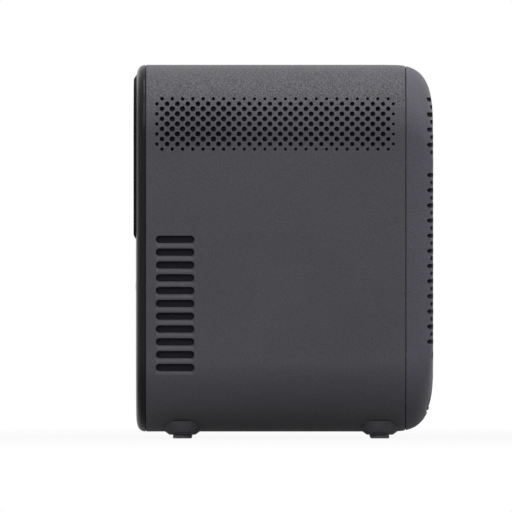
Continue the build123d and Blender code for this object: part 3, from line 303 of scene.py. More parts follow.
# ------------------------------------------------------------------ the body's own form
def turned_in(share, power):
    """How far a rounded corner has turned in, from 0 to 1: one less the superellipse's other share."""
    share = np.clip(share, 0, 1)
    return 1 - (1 - share**power) ** (1 / power)


def section_size(y, inset=0.0):
    """Half width, half height and corner radius of the body's section at depth y."""
    y = np.asarray(y, float)
    back = turned_in((y - (back_y - back_blend)) / (back_blend - inset), back_power)
    front = turned_in(1 - (y - front_y - inset) / (front_blend - inset), front_power)
    half_width = body_width / 2 - inset - back * (back_turn_x - inset) - front * (front_turn - inset)
    half_height = body_height / 2 - inset - back * (back_turn_z - inset) - front * (front_turn - inset)
    return half_width, half_height, body_corner - inset - back * back_corner - front * (front_turn - inset)


flat_x, flat_z = body_width / 2 - body_corner, body_height / 2 - body_corner
arc = body_corner * np.pi / 2
stops = np.cumsum([0, flat_x, arc, 2 * flat_z, arc, 2 * flat_x, arc, 2 * flat_z, arc, flat_x])
girth = stops[-1]
side_start = stops[2]


def around(s, y, inset=0.0):
    """The point of the body's skin at a way s round its section, from under the middle by way of +X.

    Along each side the corner's centre moves between its ends, and along each corner the direction turns."""
    s = np.asarray(s, float)
    half_width, half_height, radius = section_size(y, inset)
    centre_x = np.interp(s, stops, [0, 1, 1, 1, 1, -1, -1, -1, -1, 0])
    centre_z = np.interp(s, stops, [-1, -1, -1, 1, 1, 1, 1, -1, -1, -1])
    turn = np.radians(np.interp(s, stops, [-90, -90, 0, 0, 90, 90, 180, 180, 270, 270]))
    x = centre_x * (half_width - radius) + radius * np.cos(turn)
    z = middle_z + centre_z * (half_height - radius) + radius * np.sin(turn)
    return np.stack(np.broadcast_arrays(x, y, z), -1)


def way_at_height(z):
    """The way round the section at which the +X side reaches a height."""
    bent = np.arcsin(np.clip((np.abs(z - middle_z) - flat_z) / body_corner, 0, 1)) * body_corner
    rise = np.clip(z - middle_z, -flat_z, flat_z)
    return side_start + flat_z + rise + np.sign(z - middle_z) * bent


def way_at_top(x):
    """The way round the section at which the top reaches a place across."""
    bent = np.arcsin(np.clip((np.abs(x) - flat_x) / body_corner, 0, 1)) * body_corner
    return girth / 2 - np.sign(x) * (np.minimum(np.abs(x), flat_x) + bent)


def girth_samples(per_corner=20, per_side=8):
    """Ways round the section, close together on the corners."""
    spans = []
    for k, (low, high) in enumerate(zip(stops, stops[1:])):
        spans.append(np.linspace(low, high, per_corner if k % 2 else per_side, endpoint=False))
    return np.append(np.concatenate(spans), girth)


def surface_depth(x, z, low, high, inset=0.0):
    """The depth at which a section's outline passes through (x, z), found by halving between two depths."""
    near, far, halvings = np.full(np.shape(x), float(low)), np.full(np.shape(x), float(high)), 40
    for _ in range(halvings):
        y = (near + far) / 2
        half_width, half_height, radius = section_size(y, inset)
        out_x, out_z = np.abs(x) - half_width + radius, np.abs(z - middle_z) - half_height + radius
        outside = np.hypot(np.maximum(out_x, 0), np.maximum(out_z, 0)) + np.minimum(np.maximum(out_x, out_z), 0)
        inside = outside < radius
        near, far = np.where(inside, y, near), np.where(inside, far, y)
    return (near + far) / 2


def flat_loops(y, ways):
    """Two loops just inside the edge of a flat face at depth y, which keep the face's shading flat."""
    edge_loop = around(ways, y)[:, [0, 2]] - [0, middle_z]
    return [edge_loop * share + [0, middle_z] for share in (0.994, 0.97)]


def outline_at(y, z):
    """How far the section's outline reaches across at depth y and height z."""
    half_width, half_height, radius = section_size(y)
    over = np.maximum(np.abs(z - middle_z) - half_height + radius, 0)
    return half_width - radius + np.sqrt(np.maximum(radius**2 - over**2, 0))


# ------------------------------------------------------------------ node trees written as expressions
class Wire:
    """A socket whose sums and products add Math nodes to its tree."""

    def __init__(self, tree, socket):
        self.tree, self.socket = tree, socket

    def combine(self, operation, other, swapped=False):
        pair = (other, self) if swapped else (self, other)
        return self.tree.node("ShaderNodeMath", {"operation": operation}, {0: pair[0], 1: pair[1]})

    def __add__(self, other):
        return self.combine("ADD", other)

    def __radd__(self, other):
        return self.combine("ADD", other, True)

    def __sub__(self, other):
        return self.combine("SUBTRACT", other)

    def __rsub__(self, other):
        return self.combine("SUBTRACT", other, True)

    def __mul__(self, other):
        return self.combine("MULTIPLY", other)

    def __rmul__(self, other):
        return self.combine("MULTIPLY", other, True)


class Tree:
    """The node tree of a material or of the world."""

    def __init__(self, owner):
        owner.use_nodes = True
        self.nodes, self.links = owner.node_tree.nodes, owner.node_tree.links

    def node(self, kind, settings, inputs, output=0):
        """Adds a node: its settings first, then the values or links of its sockets."""
        made = self.nodes.new(kind)
        for key, value in settings.items():
            if key == "stops":
                ramp = made.color_ramp
                while len(ramp.elements) < len(value):
                    ramp.elements.new(0.5)
                for element, (position, colour) in zip(ramp.elements, value):
                    element.position, element.color = position, (*colour, 1)
            else:
                setattr(made, key, value)
        for key, value in inputs.items():
            self.join(made.inputs[key], value)
        return Wire(self, made.outputs[output])

    def join(self, socket, value):
        if isinstance(value, Wire):
            self.links.new(value.socket, socket)
        elif isinstance(value, tuple) and len(value) == 3 and socket.type == "RGBA":
            socket.default_value = (*value, 1)
        else:
            socket.default_value = value

    def shown(self, directly, in_gloss, through_glass):
        """A share for what is seen directly, in gloss or through glass, and 0 for what only gives light."""
        seen = 0.0
        for kind, share in (("Camera", directly), ("Glossy", in_gloss), ("Transmission", through_glass)):
            ray = self.node("ShaderNodeLightPath", {}, {}, f"Is {kind} Ray")
            seen = self.node("ShaderNodeMath", {"operation": "MAXIMUM"}, {0: seen, 1: ray * share})
        return seen

    def blend(self, factor, low, high):
        """One shader turning into another."""
        return self.node("ShaderNodeMixShader", {}, {0: factor, 1: low, 2: high})


class Finish(Tree):
    """One material, with its surface shader and its object coordinates."""

    def __init__(self, name, **shader):
        self.material = bpy.data.materials.new(name)
        super().__init__(self.material)
        self.shader = self.nodes["Principled BSDF"]
        self.place = self.node("ShaderNodeTexCoord", {}, {}, "Object")
        self.set(**shader)

    def set(self, **sockets):
        """Sets or links sockets of the surface shader, named with underscores."""
        for key, value in sockets.items():
            self.join(self.shader.inputs[key.replace("_", " ")], value)

    def noise(self, scale, detail=2.0, roughness=0.5, place=None):
        """Noise over the object, from 0 to 1. scale is in features to the metre."""
        inputs = {"Vector": place or self.place, "Scale": scale, "Detail": detail, "Roughness": roughness}
        return self.node("ShaderNodeTexNoise", {}, inputs, "Fac")

    def stretched(self, x, y, z):
        """Object coordinates scaled along each axis, for brushed and moulded grain."""
        return self.node("ShaderNodeMapping", {}, {"Vector": self.place, "Scale": (x, y, z)})

    def ramp(self, value, *stops):
        return self.node("ShaderNodeValToRGB", {"stops": stops}, {"Fac": value}, "Color")

    def mix(self, factor, low, high):
        return self.node("ShaderNodeMix", {"data_type": "RGBA"}, {0: factor, 6: low, 7: high}, 2)

    def bump(self, height, strength, distance):
        inputs = {"Height": height, "Strength": strength, "Distance": distance}
        self.set(Normal=self.node("ShaderNodeBump", {}, inputs))


def linear(red, green, blue):
    """A colour read as 8-bit screen values, made linear by the screen's power curve."""
    values = np.array([red, green, blue]) / 255
    lit = np.where(values <= 0.04045, values / 12.92, ((values + 0.055) / 1.055) ** 2.4)
    return tuple(float(v) for v in lit)


def moulded(name, colour, roughness=0.45, grain=900, depth=0.0004, strength=0.9, speckle=0.5, gloss=0.14, painted_glints=0):
    """Moulded plastic with a fine spark-eroded grain, a slight drift of colour and of gloss. Painted glints make
    the grain's colour swing wider over the top and where the sides turn over into it: a painted sparkle of the
    overhead lamp's highlight."""
    # side_z and over_z are the heights, in metres, over which the painted glints of the overhead highlight grow in
    side_z, over_z, painted_glint_scale = 0.193, 0.204, 1250
    finish = Finish(name, Specular_IOR_Level=gloss)
    fine = finish.noise(grain, 4.0, 0.7)
    drift = finish.noise(14, 2.0)
    dark = tuple(c * (1 - speckle) for c in colour)
    light = tuple(c * (1 + speckle) for c in colour)
    tone = fine * 0.75 + drift * 0.25
    # painted glints: near the top the grain's colour swings wider, a painted sparkle of the overhead lamp's
    # highlight
    if painted_glints:
        height = finish.node("ShaderNodeSeparateXYZ", {}, {0: finish.place}, "Z")
        share = finish.node("ShaderNodeMapRange", {}, {0: height, 1: side_z, 2: over_z})
        tone += (finish.noise(painted_glint_scale, 1.0, 0.5) - 0.5) * painted_glints * share
    finish.set(Base_Color=finish.mix(tone, dark, light), Roughness=fine * 0.16 + drift * 0.06 + (roughness - 0.11))
    finish.bump(fine, strength, depth)
    return finish.material


def glossy(name, colour, roughness=0.06):
    """Polished black plastic with a faint waviness from its mould and a little dust in its gloss."""
    finish = Finish(name, Specular_IOR_Level=0.1)
    wave = finish.noise(9, 1.0)
    dust = finish.noise(900, 4.0, 0.7)
    dusty = finish.ramp(dust, (0.55, (0, 0, 0)), (0.8, (1, 1, 1)))
    paler = tuple(c + 0.006 for c in colour)
    finish.set(Base_Color=finish.mix(dusty, colour, paler), Roughness=dust * 0.08 + roughness)
    finish.bump(wave, 0.05, 0.0004)
    return finish.material


def metal(name, colour, roughness=0.3, brushed=(1, 1, 40), scale=60):
    """Brushed or drawn metal: noise stretched along one axis, in its gloss and its height."""
    finish = Finish(name, Metallic=1.0)
    lines = finish.noise(scale, 4.0, 0.6, finish.stretched(*brushed))
    darker = tuple(c * 0.8 for c in colour)
    finish.set(Base_Color=finish.mix(lines, darker, colour), Roughness=lines * 0.2 + (roughness - 0.1))
    finish.bump(lines, 0.12, 0.00005)
    return finish.material


def clear(name, colour, roughness=0.02, coat=(0.25, 0.2, 0.6)):
    """Coated glass: see-through, with a tinted sheen of its anti-reflection layers."""
    finish = Finish(name, Transmission_Weight=0.95, IOR=1.5, Roughness=roughness, Coat_Weight=0.5, Coat_Tint=coat)
    haze = finish.noise(120, 2.0)
    finish.set(Base_Color=finish.mix(haze, colour, tuple(min(1, c * 1.05) for c in colour)))
    return finish.material


# ------------------------------------------------------------------ finishes
finishes = {
    # the case's grey carries painted glints of the overhead highlight over its top
    "case_grey": moulded("case_grey", linear(80, 79, 84), painted_glints=3.0),
    "cover_grey": moulded("cover_grey", linear(84, 82, 90)),
    "fascia_black": glossy("fascia_black", linear(30, 30, 32), 0.18),
    "plate_black": glossy("plate_black", linear(20, 20, 23)),
    "shroud_black": moulded("shroud_black", linear(18, 18, 19), 0.6, 3200, 0.00004),
    "panel_black": moulded("panel_black", linear(30, 30, 32), 0.5, 2200),
    # the foot pads are painted paler than their dark rubber: the extra lightness is painted light, standing in for
    # the floor's bounce into the shade under the body
    "foot_rubber": moulded("foot_rubber", linear(150, 149, 152), 0.7, 1500, 0.0001),
    "brass": metal("brass", (0.72, 0.5, 0.2), 0.28, (1, 1, 60)),
    "mesh_black": moulded("mesh_black", linear(40, 39, 46), 0.9, 900, 0.0004),
    "screw_steel": metal("screw_steel", (0.42, 0.42, 0.44), 0.3, (8, 8, 8), 90),
    "key_grey": moulded("key_grey", linear(70, 70, 74), 0.4, 2600, 0.00004),
    "pcb_green": moulded("pcb_green", linear(18, 74, 44), 0.3, 700, 0.00008),
    "light_clear": clear("light_clear", (0.85, 0.9, 1.0), 0.15),
    "shelf_steel": metal("shelf_steel", (0.3, 0.3, 0.31), 0.45, (4, 4, 4), 70),
    "engine_black": moulded("engine_black", linear(22, 22, 23), 0.65, 1500, 0.0001),
    "fresnel_clear": clear("fresnel_clear", (0.9, 0.95, 0.97), 0.1),
    "lcd_dark": glossy("lcd_dark", linear(14, 14, 20)),
    "lens_glass": clear("lens_glass", (0.4, 0.42, 0.48), 0.02, (0.5, 0.42, 0.7)),
    "barrel_black": moulded("barrel_black", linear(20, 20, 21), 0.35, 2600, 0.00003),
    "gear_white": moulded("gear_white", linear(226, 224, 214), 0.4, 1800, 0.00003, 0.2, 0.04),
    "motor_steel": metal("motor_steel", (0.5, 0.5, 0.51), 0.32, (2, 2, 30)),
    "led_white": moulded("led_white", linear(226, 224, 200), 0.5, 1200, 0.00004, 0.3, 0.05),
    "heatsink_alu": metal("heatsink_alu", (0.68, 0.69, 0.71), 0.35, (30, 1, 1)),
    "fan_black": moulded("fan_black", linear(26, 26, 27), 0.45, 2000),
    "loader_black": moulded("loader_black", linear(34, 34, 35), 0.5, 1800),
    "tray_black": moulded("tray_black", linear(30, 30, 32), 0.42, 2600, 0.00005),
    "belt_rubber": moulded("belt_rubber", linear(24, 24, 24), 0.7, 1500),
    "rod_steel": metal("rod_steel", (0.75, 0.75, 0.76), 0.15, (1, 60, 1)),
    "turntable_black": moulded("turntable_black", linear(28, 28, 30), 0.5, 2400),
    "pickup_zinc": metal("pickup_zinc", (0.48, 0.48, 0.5), 0.42, (6, 6, 6), 120),
    "puck_white": moulded("puck_white", linear(200, 199, 192), 0.45, 2000, 0.00003, 0.2, 0.05),
    "component_mix": moulded("component_mix", linear(44, 44, 46), 0.4, 500),
    "port_metal": metal("port_metal", (0.36, 0.36, 0.35), 0.34, (1, 40, 1)),
    "inlet_black": moulded("inlet_black", linear(26, 26, 27), 0.45, 2000),
    "speaker_black": moulded("speaker_black", linear(28, 28, 30), 0.55, 1800),
    "cone_paper": moulded("cone_paper", linear(42, 41, 40), 0.9, 700, 0.0002),
}
for entry in frame["record"]["subparts"]:
    slots = frame["nodes"][entry["node"]].data.materials
    slots.clear()
    slots.append(finishes[entry["material_slot"]])


# ------------------------------------------------------------------ the sleeve: sides, top and bottom
def rolled(distance, radius):
    """How deep an edge has rolled in at a distance from its end: a quarter circle, from its radius to nothing."""
    left = np.clip(radius - distance, 0, radius)
    return radius - np.sqrt(np.maximum(radius**2 - left**2, 0))


seam_roll = 0.7
sleeve_low, sleeve_high = front_seam_y + seam_gap, rear_seam_y - seam_gap
edge_steps = seam_roll * np.array([0, 0.04, 0.12, 0.26, 0.45, 0.7, 1.0])


def sleeve_skin(flat):
    """The sleeve's surface from a depth and a way round, rolled in at both of its ends."""
    y, s = flat.T
    return around(s, y, rolled(np.minimum(y - sleeve_low, sleeve_high - y), seam_roll))


def side_outlines(outline, places, mirrored):
    """An outline in the side view put at each place there, and read as depth and way round."""
    y = places[:, None, 0] + outline[None, :, 0]
    s = way_at_height(places[:, None, 1] + outline[None, :, 1])
    return np.stack([y, girth - s if mirrored else s], -1)


def side_holes(mirrored):
    """The openings of one side. Vents sit at every other place of a grid, and their radius grows with the number
    of places to the grid's nearest edge, up to two. A slot has round ends and a wide shallow scoop below it."""
    drill = np.array([1.0 if mirrored else -1.0, 0, 0])
    vent_rim, scoop_rim, scoop_share = 0.1, 0.1, 0.45
    rows, columns = np.indices((vent_rows, vent_columns))
    drilled = (rows + columns) % 2 == 1
    ring = np.minimum.reduce([columns, vent_columns - 1 - columns, rows, vent_rows - 1 - rows, 0 * rows + 2])
    size = np.array(vent_radii)[ring] + np.where(columns < vent_large_columns, vent_large_extra, 0)
    stacks = []
    for radius in np.unique(size[drilled]):
        here = drilled & (size == radius)
        places = np.stack([vent_y + columns[here] * vent_step_y, vent_z - rows[here] * vent_step_z], 1)
        wide, tight = (side_outlines(circle(radius + more, 18), places, mirrored) for more in (vent_rim, 0))
        stacks.append((wide, tight, drill, wall))
    levels = slot_top_z - np.arange(slot_count) * slot_step
    places = np.stack([np.full(slot_count, slot_middle_y), levels], 1)
    rib, corners = slot_step - slot_height - 0.5, [0.9, 0.9, 2.1, 2.1]
    scoop = rounded(slot_length / 2 + scoop_rim, (slot_height + rib) / 2, corners, 9) - [0, rib / 2 - scoop_rim]
    outlines = scoop, stadium(slot_length, slot_height)
    wide, tight = (side_outlines(outline, places, mirrored) for outline in outlines)
    return stacks + [(wide, tight, drill, wall, scoop_share)]


def housing():
    """The main sleeve: the body's skin over depth and way round between the two seams, the slab that floors the
    key recess, and the turned cones of the feet."""
    shape, ways = Shape(), girth_samples()
    end_margin, vent_room, slot_room, slot_room_z, recess_room, recess_reach = 1.4, 2.5, 2.0, 4.0, 8.5, 39.0
    vents_depth, vents_height = (vent_columns - 1) * vent_step_y, (vent_rows - 1) * vent_step_z
    slots_height = (slot_count - 1) * slot_step
    depths = np.linspace(front_seam_y + end_margin, vent_y + vents_depth + 2.7, 19)
    strip(shape, np.append(sleeve_low + edge_steps, depths[0]), sleeve_skin, 1, wall)
    last = [*np.linspace(depths[-1], rear_seam_y - end_margin, 5), *(sleeve_high - edge_steps)[::-1]]
    strip(shape, np.array(last), sleeve_skin, 1, wall)
    boundary = np.concatenate([
        np.stack([np.full(len(ways) - 1, depths[0]), ways[:-1]], 1),
        np.stack([depths[:-1], np.full(len(depths) - 1, girth)], 1),
        np.stack([np.full(len(ways) - 1, depths[-1]), ways[:0:-1]], 1),
        np.stack([depths[:0:-1], np.zeros(len(depths) - 1)], 1),
    ])
    y, s = (a.ravel() for a in np.meshgrid(depths[1:-1], ways[1:-1], indexing="ij"))
    height = around(s, y)[:, 2]
    near_side = np.minimum(np.abs(s - girth / 4), np.abs(s - 3 * girth / 4)) < girth / 8 + 40
    vent_area = np.abs(y - vent_y - vents_depth / 2) < vents_depth / 2 + vent_room
    vent_area &= np.abs(height - vent_z + vents_height / 2) < vents_height / 2 + vent_room
    slot_area = np.abs(y - slot_middle_y) < slot_length / 2 + slot_room
    slot_area &= np.abs(height - slot_top_z + slots_height / 2) < slots_height / 2 + slot_room_z
    recess_area = (np.abs(y - key_y) < recess_room) & (np.abs(s - girth / 2) < recess_reach)
    kept = ~(((vent_area | slot_area) & near_side) | recess_area)
    recess_length, recess_width = 2 * key_xs[-1] + key_length + 2 * strip_border, key_width + 2 * strip_border
    recess_rim, floor_extra, key_rim = 0.3, 0.5, 0.2
    recess = [
        stadium(recess_length + more, recess_width + more, 12) + [0, key_y] for more in (recess_rim, 0, floor_extra)
    ]
    recess_ways = [np.stack([p[:, 1], way_at_top(p[:, 0])], 1)[None] for p in recess[:2]]
    holes = side_holes(False) + side_holes(True) + [(*recess_ways, from_top, strip_depth - recess_rim / 2)]
    inner = lambda flat, back: around(flat[:, 1], flat[:, 0], wall)
    sheet(shape, boundary, np.stack([y, s], 1)[kept], sleeve_skin, 1, holes, wall, inner)
    floor_z = top_z - strip_depth
    openings = [
        np.stack([
            stadium(key_length + 2 * key_gap + more, key_width + 2 * key_gap + more) + [x, key_y] for x in key_xs
        ])
        for more in (key_rim, 0)
    ]
    keyholes = [(*openings, from_top, strip_thickness - key_rim / 2)]
    skin(shape, np.stack([facing_up(recess[2], z) for z in (floor_z - strip_thickness, floor_z)]), -1)
    sheet(shape, recess[2], none, lambda p: facing_up(p, floor_z), 1, keyholes, strip_thickness)
    for end, inward in ((sleeve_low, -1), (sleeve_high, 1)):
        skin(shape, np.stack([around(ways[:-1], end, seam_roll), around(ways[:-1], end, wall)]), inward)
    for x in (-foot_x, foot_x):
        for y in foot_ys:
            skin(shape, lathe(softened(foot_cone, 0.35), (x, y), 2, 48), -1)
    return shape.finish("housing", "case", [finishes["case_grey"]], ["main_housing"], "case_grey")


def pads():
    """The four foot pads: turned discs with a soft lower edge and a shallow ring groove."""
    shape = Shape()
    for x in (-foot_x, foot_x):
        for y in foot_ys:
            skin(shape, lathe(softened(foot_pad, 0.5), (x, y), 2, 48), 1)
    return shape.finish("foot_pads", "case", [finishes["foot_rubber"]], ["rubber_feet"], "foot_rubber")


# ------------------------------------------------------------------ the rear cover
cover_roll = 6.5  # how far before the back the strip round the cover ends
cover_low, cover_join = rear_seam_y + seam_gap, back_y - cover_roll


def cover_side(flat):
    """The cover's rounded side from a depth and a way round, rolled in at the seam."""
    y, s = flat.T
    return around(s, y, rolled(y - cover_low, seam_roll))


def cover_back(flat):
    """The cover's back as a height field: the depth at which the body's outline passes each point."""
    x, z = flat.T
    return np.stack([x, surface_depth(x, z, cover_join - 0.5, back_y), z], 1)


def grille():
    """Outlines of the staggered slots, which end where the body's outline has dropped by a set depth."""
    made = {}
    for row in range(grille_rows):
        z = grille_top_z - row * grille_step
        row_end = outline_at(back_y - grille_end_depths[row % 2], z)
        if min(abs(z - level) for level in screw_zs) < screw_room:
            row_end = min(row_end, grille_end_by_screw)
        left = (row % 2) * grille_pitch / 2 - grille_length / 2
        while left + grille_height < row_end:
            right = min(row_end, left + grille_length)
            if row_end < right + grille_pitch - grille_length / 2:
                right = row_end
            for side in (-1, 1):
                if side > 0 or left > 0:
                    made[side * round((left + right) / 2, 4), round(z, 4)] = right - left
            left = max(left + grille_pitch, right)
    return [(x, z, length) for (x, z), length in made.items()]


def cover():
    """The rear cover: a strip round its edge that meets a height field over its back. The field's points are
    rings where the body's outline has dropped by set depths, and a grid inside them."""
    shape, ways = Shape(), girth_samples()[:-1]
    slot_rim, window_rim, screw_rim, seed_room, screw_sunk = 0.4, 0.2, 0.25, 0.7, 7.0
    depths = np.concatenate([cover_low + edge_steps, np.linspace(rear_seam_y + 1.6, cover_join, 9)])
    strip(shape, depths, cover_side, 1, wall)
    skin(shape, np.stack([around(ways, cover_low, seam_roll), around(ways, cover_low, wall)]), -1)
    boundary = around(ways, cover_join)[:, [0, 2]]
    steps = back_y - cover_roll * np.array([0.88, 0.77, 0.66, 0.55, 0.45, 0.35, 0.26, 0.18, 0.11, 0.05, 0.005])
    rings = [around(ways, y)[:, [0, 2]] for y in steps]
    field = np.stack(np.meshgrid(np.arange(-72, 73, 3.6), np.arange(9, 220, 3.4)), -1).reshape(-1, 2)
    reach, rise = outline_at(cover_join, field[:, 1]) - 2, section_size(cover_join)[1] - 2
    within = (np.abs(field[:, 0]) < reach) & (np.abs(field[:, 1] - middle_z) < rise)
    seeds = np.concatenate(rings + flat_loops(back_y, ways) + [field[within]])
    slots, tub_middle, screws = grille(), (tub_low + tub_high) / 2, [(x, z) for x in screw_xs for z in screw_zs]
    wide, tight = (
        np.stack([stadium(length + m, grille_height + m, 6) + [x, z] for x, z, length in slots])
        for m in (slot_rim, 0)
    )
    window = [
        rounded(tub_half + panel_gap + m, (tub_high - tub_low) / 2 + panel_gap + m, [tub_corner + m] * 4, 6)[None]
        + [0, tub_middle]
        for m in (window_rim, 0)
    ]
    sunk = [np.stack([circle(screw_hole + m, 24) + [x, z] for x, z in screws]) for m in (screw_rim, 0)]
    holes = [(wide, tight, from_back, wall), (*window, from_back, wall), (*sunk, from_back, screw_sunk)]
    x, z = seeds.T
    clear_of = (np.abs(x) > tub_half + 1.2) | (np.abs(z - tub_middle) > (tub_high - tub_low) / 2 + 1.5)
    for slot_x, slot_z, length in slots:
        beside = np.abs(x - slot_x) > length / 2 + seed_room
        clear_of &= beside | (np.abs(z - slot_z) > grille_height / 2 + seed_room)
    for screw_x, screw_z in screws:
        clear_of &= np.hypot(x - screw_x, z - screw_z) > screw_hole + 0.8
    rim = around(ways, cover_join, wall)
    inner = lambda flat, back: np.concatenate([rim, back[len(rim) :]])
    sheet(shape, boundary, seeds[clear_of], cover_back, -1, holes, wall, inner)
    return shape.finish("back_cover", "case", [finishes["cover_grey"]], ["rear_cover"], "cover_grey")


# ------------------------------------------------------------------ the front
fascia_high, fascia_join = front_seam_y - seam_gap, front_y + 0.5


def plate_shape(inset):
    """The lens plate's outline drawn in by an inset: wide corners at the top and tight ones below."""
    half_height = (plate_top_z - plate_bottom_z) / 2
    low, high = max(plate_low_corner - inset, 0.3), plate_high_corner - inset
    return rounded(plate_half - inset, half_height - inset, [low, low, high, high], 24) + [
        0, (plate_top_z + plate_bottom_z) / 2
    ]


def door_shape(inset):
    """The tray door's outline drawn in by an inset."""
    corners, middle = [max(door_corner - inset, 0.2)] * 4, (door_high + door_low) / 2
    return rounded(door_half - inset, (door_high - door_low) / 2 - inset, corners, 8) + [0, middle]


def fascia_side(flat):
    """The fascia's rounded edge from a depth and a way round, rolled in at the seam."""
    y, s = flat.T
    return around(s, y, rolled(fascia_high - y, 0.35))


def fascia_face(flat):
    """The fascia's face as a height field."""
    x, z = flat.T
    return np.stack([x, surface_depth(x, z, fascia_join + 0.3, front_y), z], 1)


def fascia():
    """The front fascia: a strip round its edge that meets a height field with the openings of its face."""
    shape, ways, seam_rim, hole_depth = Shape(), girth_samples(30, 44)[:-1], 0.35, 2.2
    side_steps = front_y + np.array([5.0, 4.2, 3.4, 2.7, 2.1, 1.6, 1.2, 0.9, 0.7, 0.5])
    depths = np.concatenate([fascia_high - 0.5 * edge_steps, side_steps])
    strip(shape, depths, fascia_side, 1, fascia_wall, np.append(ways, girth))
    skin(shape, np.stack([around(ways, fascia_high, seam_rim), around(ways, fascia_high, fascia_wall)]), 1)
    boundary = around(ways, fascia_join)[:, [0, 2]]
    rings = [around(ways, front_y + deep)[:, [0, 2]] for deep in (0.36, 0.24, 0.14, 0.06, 0.02)]
    seeds = np.concatenate(rings + flat_loops(front_y, ways))
    x, z = seeds.T
    covered = (np.abs(x) < plate_half + 0.8) & (z > plate_bottom_z - 1)
    covered |= (np.abs(x) < door_half + 0.95) & (np.abs(z - (door_low + door_high) / 2) < 7.7)
    door = [door_shape(-door_gap - m)[None] for m in (0.3, 0)]
    plate = [plate_shape(-panel_gap - m)[None] for m in (0.2, 0)]
    eject_hole = np.array(eject_size) + 2 * panel_gap
    eject = [(stadium(*(eject_hole + m), 12) + list(eject_at))[None] for m in (0.3, 0)]
    light = [(circle(light_hole + m, 24) + list(light_at))[None] for m in (0.15, 0)]
    holes = [(*outlines, from_front, hole_depth) for outlines in (door, eject, light)]
    holes.insert(1, (*plate, from_front, plate_seat - 0.1))
    rim = around(ways, inner_front_y, fascia_wall)
    inner = lambda flat, back: np.concatenate([rim, back[len(rim) :]])
    sheet(shape, boundary, seeds[~covered], fascia_face, 1, holes, face_wall, inner)
    floor_near, floor_far = front_y + 1.0, front_y + 2.0  # the slab behind the lens plate
    floor_edge, bore = plate_shape(-0.7), circle(aperture + 1.5, 96)[None] + [0, lens_z]
    skin(shape, np.stack([facing_front(floor_edge, y) for y in (floor_far, floor_near)]), -1)
    sheet(shape, floor_edge, none, lambda p: facing_front(p, floor_near), 1, [(bore, bore, from_front, 1.0)])
    sheet(shape, floor_edge, none, lambda p: facing_front(p, floor_far), -1, [(bore, bore, from_front, 0)])
    return shape.finish("fascia", "case", [finishes["fascia_black"]], ["front_fascia"], "fascia_black")


def plate():
    """The raised lens plate: its outline drawn in up a bevel, a flat face and the aperture's edge."""
    shape, face_y, seat_y = Shape(), front_y - plate_proud, front_y + plate_seat
    bevel, face_inset, bore_rim = 2.4, 4.0, 0.35
    profile = softened([(0.0, seat_y), (0.0, front_y), (bevel, face_y), (face_inset, face_y)], 0.3, 5)
    skin(shape, drawn_in(plate_shape, profile, facing_front), -1, 1)
    wide, tight = (circle(aperture + panel_gap + m, 96)[None] + [0, lens_z] for m in (bore_rim, 0))
    ahead = [(wide, tight, from_front, seat_y - face_y - bore_rim)]
    sheet(shape, plate_shape(face_inset), none, lambda p: facing_front(p, face_y), 1, ahead)
    sheet(shape, plate_shape(0.0), none, lambda p: facing_front(p, seat_y), -1, [(tight, tight, from_front, 0)])
    coats = [finishes["plate_black"], edge_matt]
    return shape.finish("raised_plate", "case", coats, ["lens_plate"], "plate_black")


def shroud():
    """The lens shroud: a cone of stepped rings, each with a tread along the lens axis and a riser inwards."""
    shape = Shape()
    steps, mouth_y, back_end, turns = 11, front_y - plate_proud / 2, -64.0, 128
    depths = np.linspace(mouth_y + 1.2, back_end, steps + 1)
    radii = np.linspace(29.6, 22.4, steps + 1)
    inside = [(mouth_y, 30.4), (mouth_y + 0.6, 29.8)]
    for k in range(steps):
        inside += [(depths[k], radii[k]), (depths[k + 1], radii[k] - 0.06)]
    outside = [(back_end, 24.0), (-84.4, 31.0), (mouth_y + 0.3, 31.0), (mouth_y, 30.7)]
    skin(shape, lathe(softened(inside + outside + inside[:1], 0.12, 3), (0, lens_z), 1, turns), -1)
    return shape.finish("baffle_rings", "case", [finishes["shroud_black"]], ["lens_shroud"], "shroud_black")


def door():
    """The tray door: its outline carried over soft edges, with a shallow finger groove along its foot."""
    shape, face_inset, back = Shape(), 1.2, front_y + door_thickness
    groove_length, groove_height, groove_rise, groove_depth, groove_rim = 30, 2.4, 3.2, 0.6, 0.5
    profile = softened([(0.0, back), (0.0, front_y), (face_inset, front_y)], 0.45, 5)
    skin(shape, drawn_in(door_shape, profile, facing_front), -1)
    wide, tight = (
        (stadium(groove_length + m, groove_height + m, 10) + [0, door_low + groove_rise])[None]
        for m in (groove_rim, 0)
    )
    groove = [(wide, tight, from_front, groove_depth - groove_rim / 2)]
    sheet(shape, door_shape(face_inset), none, lambda p: facing_front(p, front_y), 1, groove)
    sheet(shape, tight[0], none, lambda p: facing_front(p, front_y + groove_depth), 1)
    sheet(shape, door_shape(0.0), none, lambda p: facing_front(p, back), -1)
    return shape.finish("tray_front", "tray", [finishes["fascia_black"]], ["tray_door"], "fascia_black")


def printed(shape, strokes, place, zone=1):
    """Thin printed marks. Each is a path with a half width at every point: the path is carried to both sides by
    the half width, square to its own direction, and the loop so made has a top, a bottom and a wall."""
    ink = 0.04
    for path, half in strokes:
        path = np.asarray(path, float)
        along = unit(np.gradient(path, axis=0))
        across = np.stack([-along[:, 1], along[:, 0]], 1) * np.reshape(half, (-1, 1))
        loop = np.concatenate([path - across, (path + across)[::-1]])
        top, low = place(loop, ink), place(loop, 0.0)
        a = np.arange(len(path) - 1)
        c = 2 * len(path) - 2 - a
        faces = np.concatenate([np.stack([a, a + 1, c], -1), np.stack([a, c, c + 1], -1)])
        shape.add(top, top - low, faces, zone)
        shape.add(low, low - top, faces, zone)
        skin(shape, np.stack([low, top]), -1, zone)


def bow(radius, start, end, count=24):
    """Points along an arc about the origin, between two angles in degrees."""
    turn = np.radians(np.linspace(start, end, count))
    return np.stack([radius * np.cos(turn), radius * np.sin(turn)], 1)


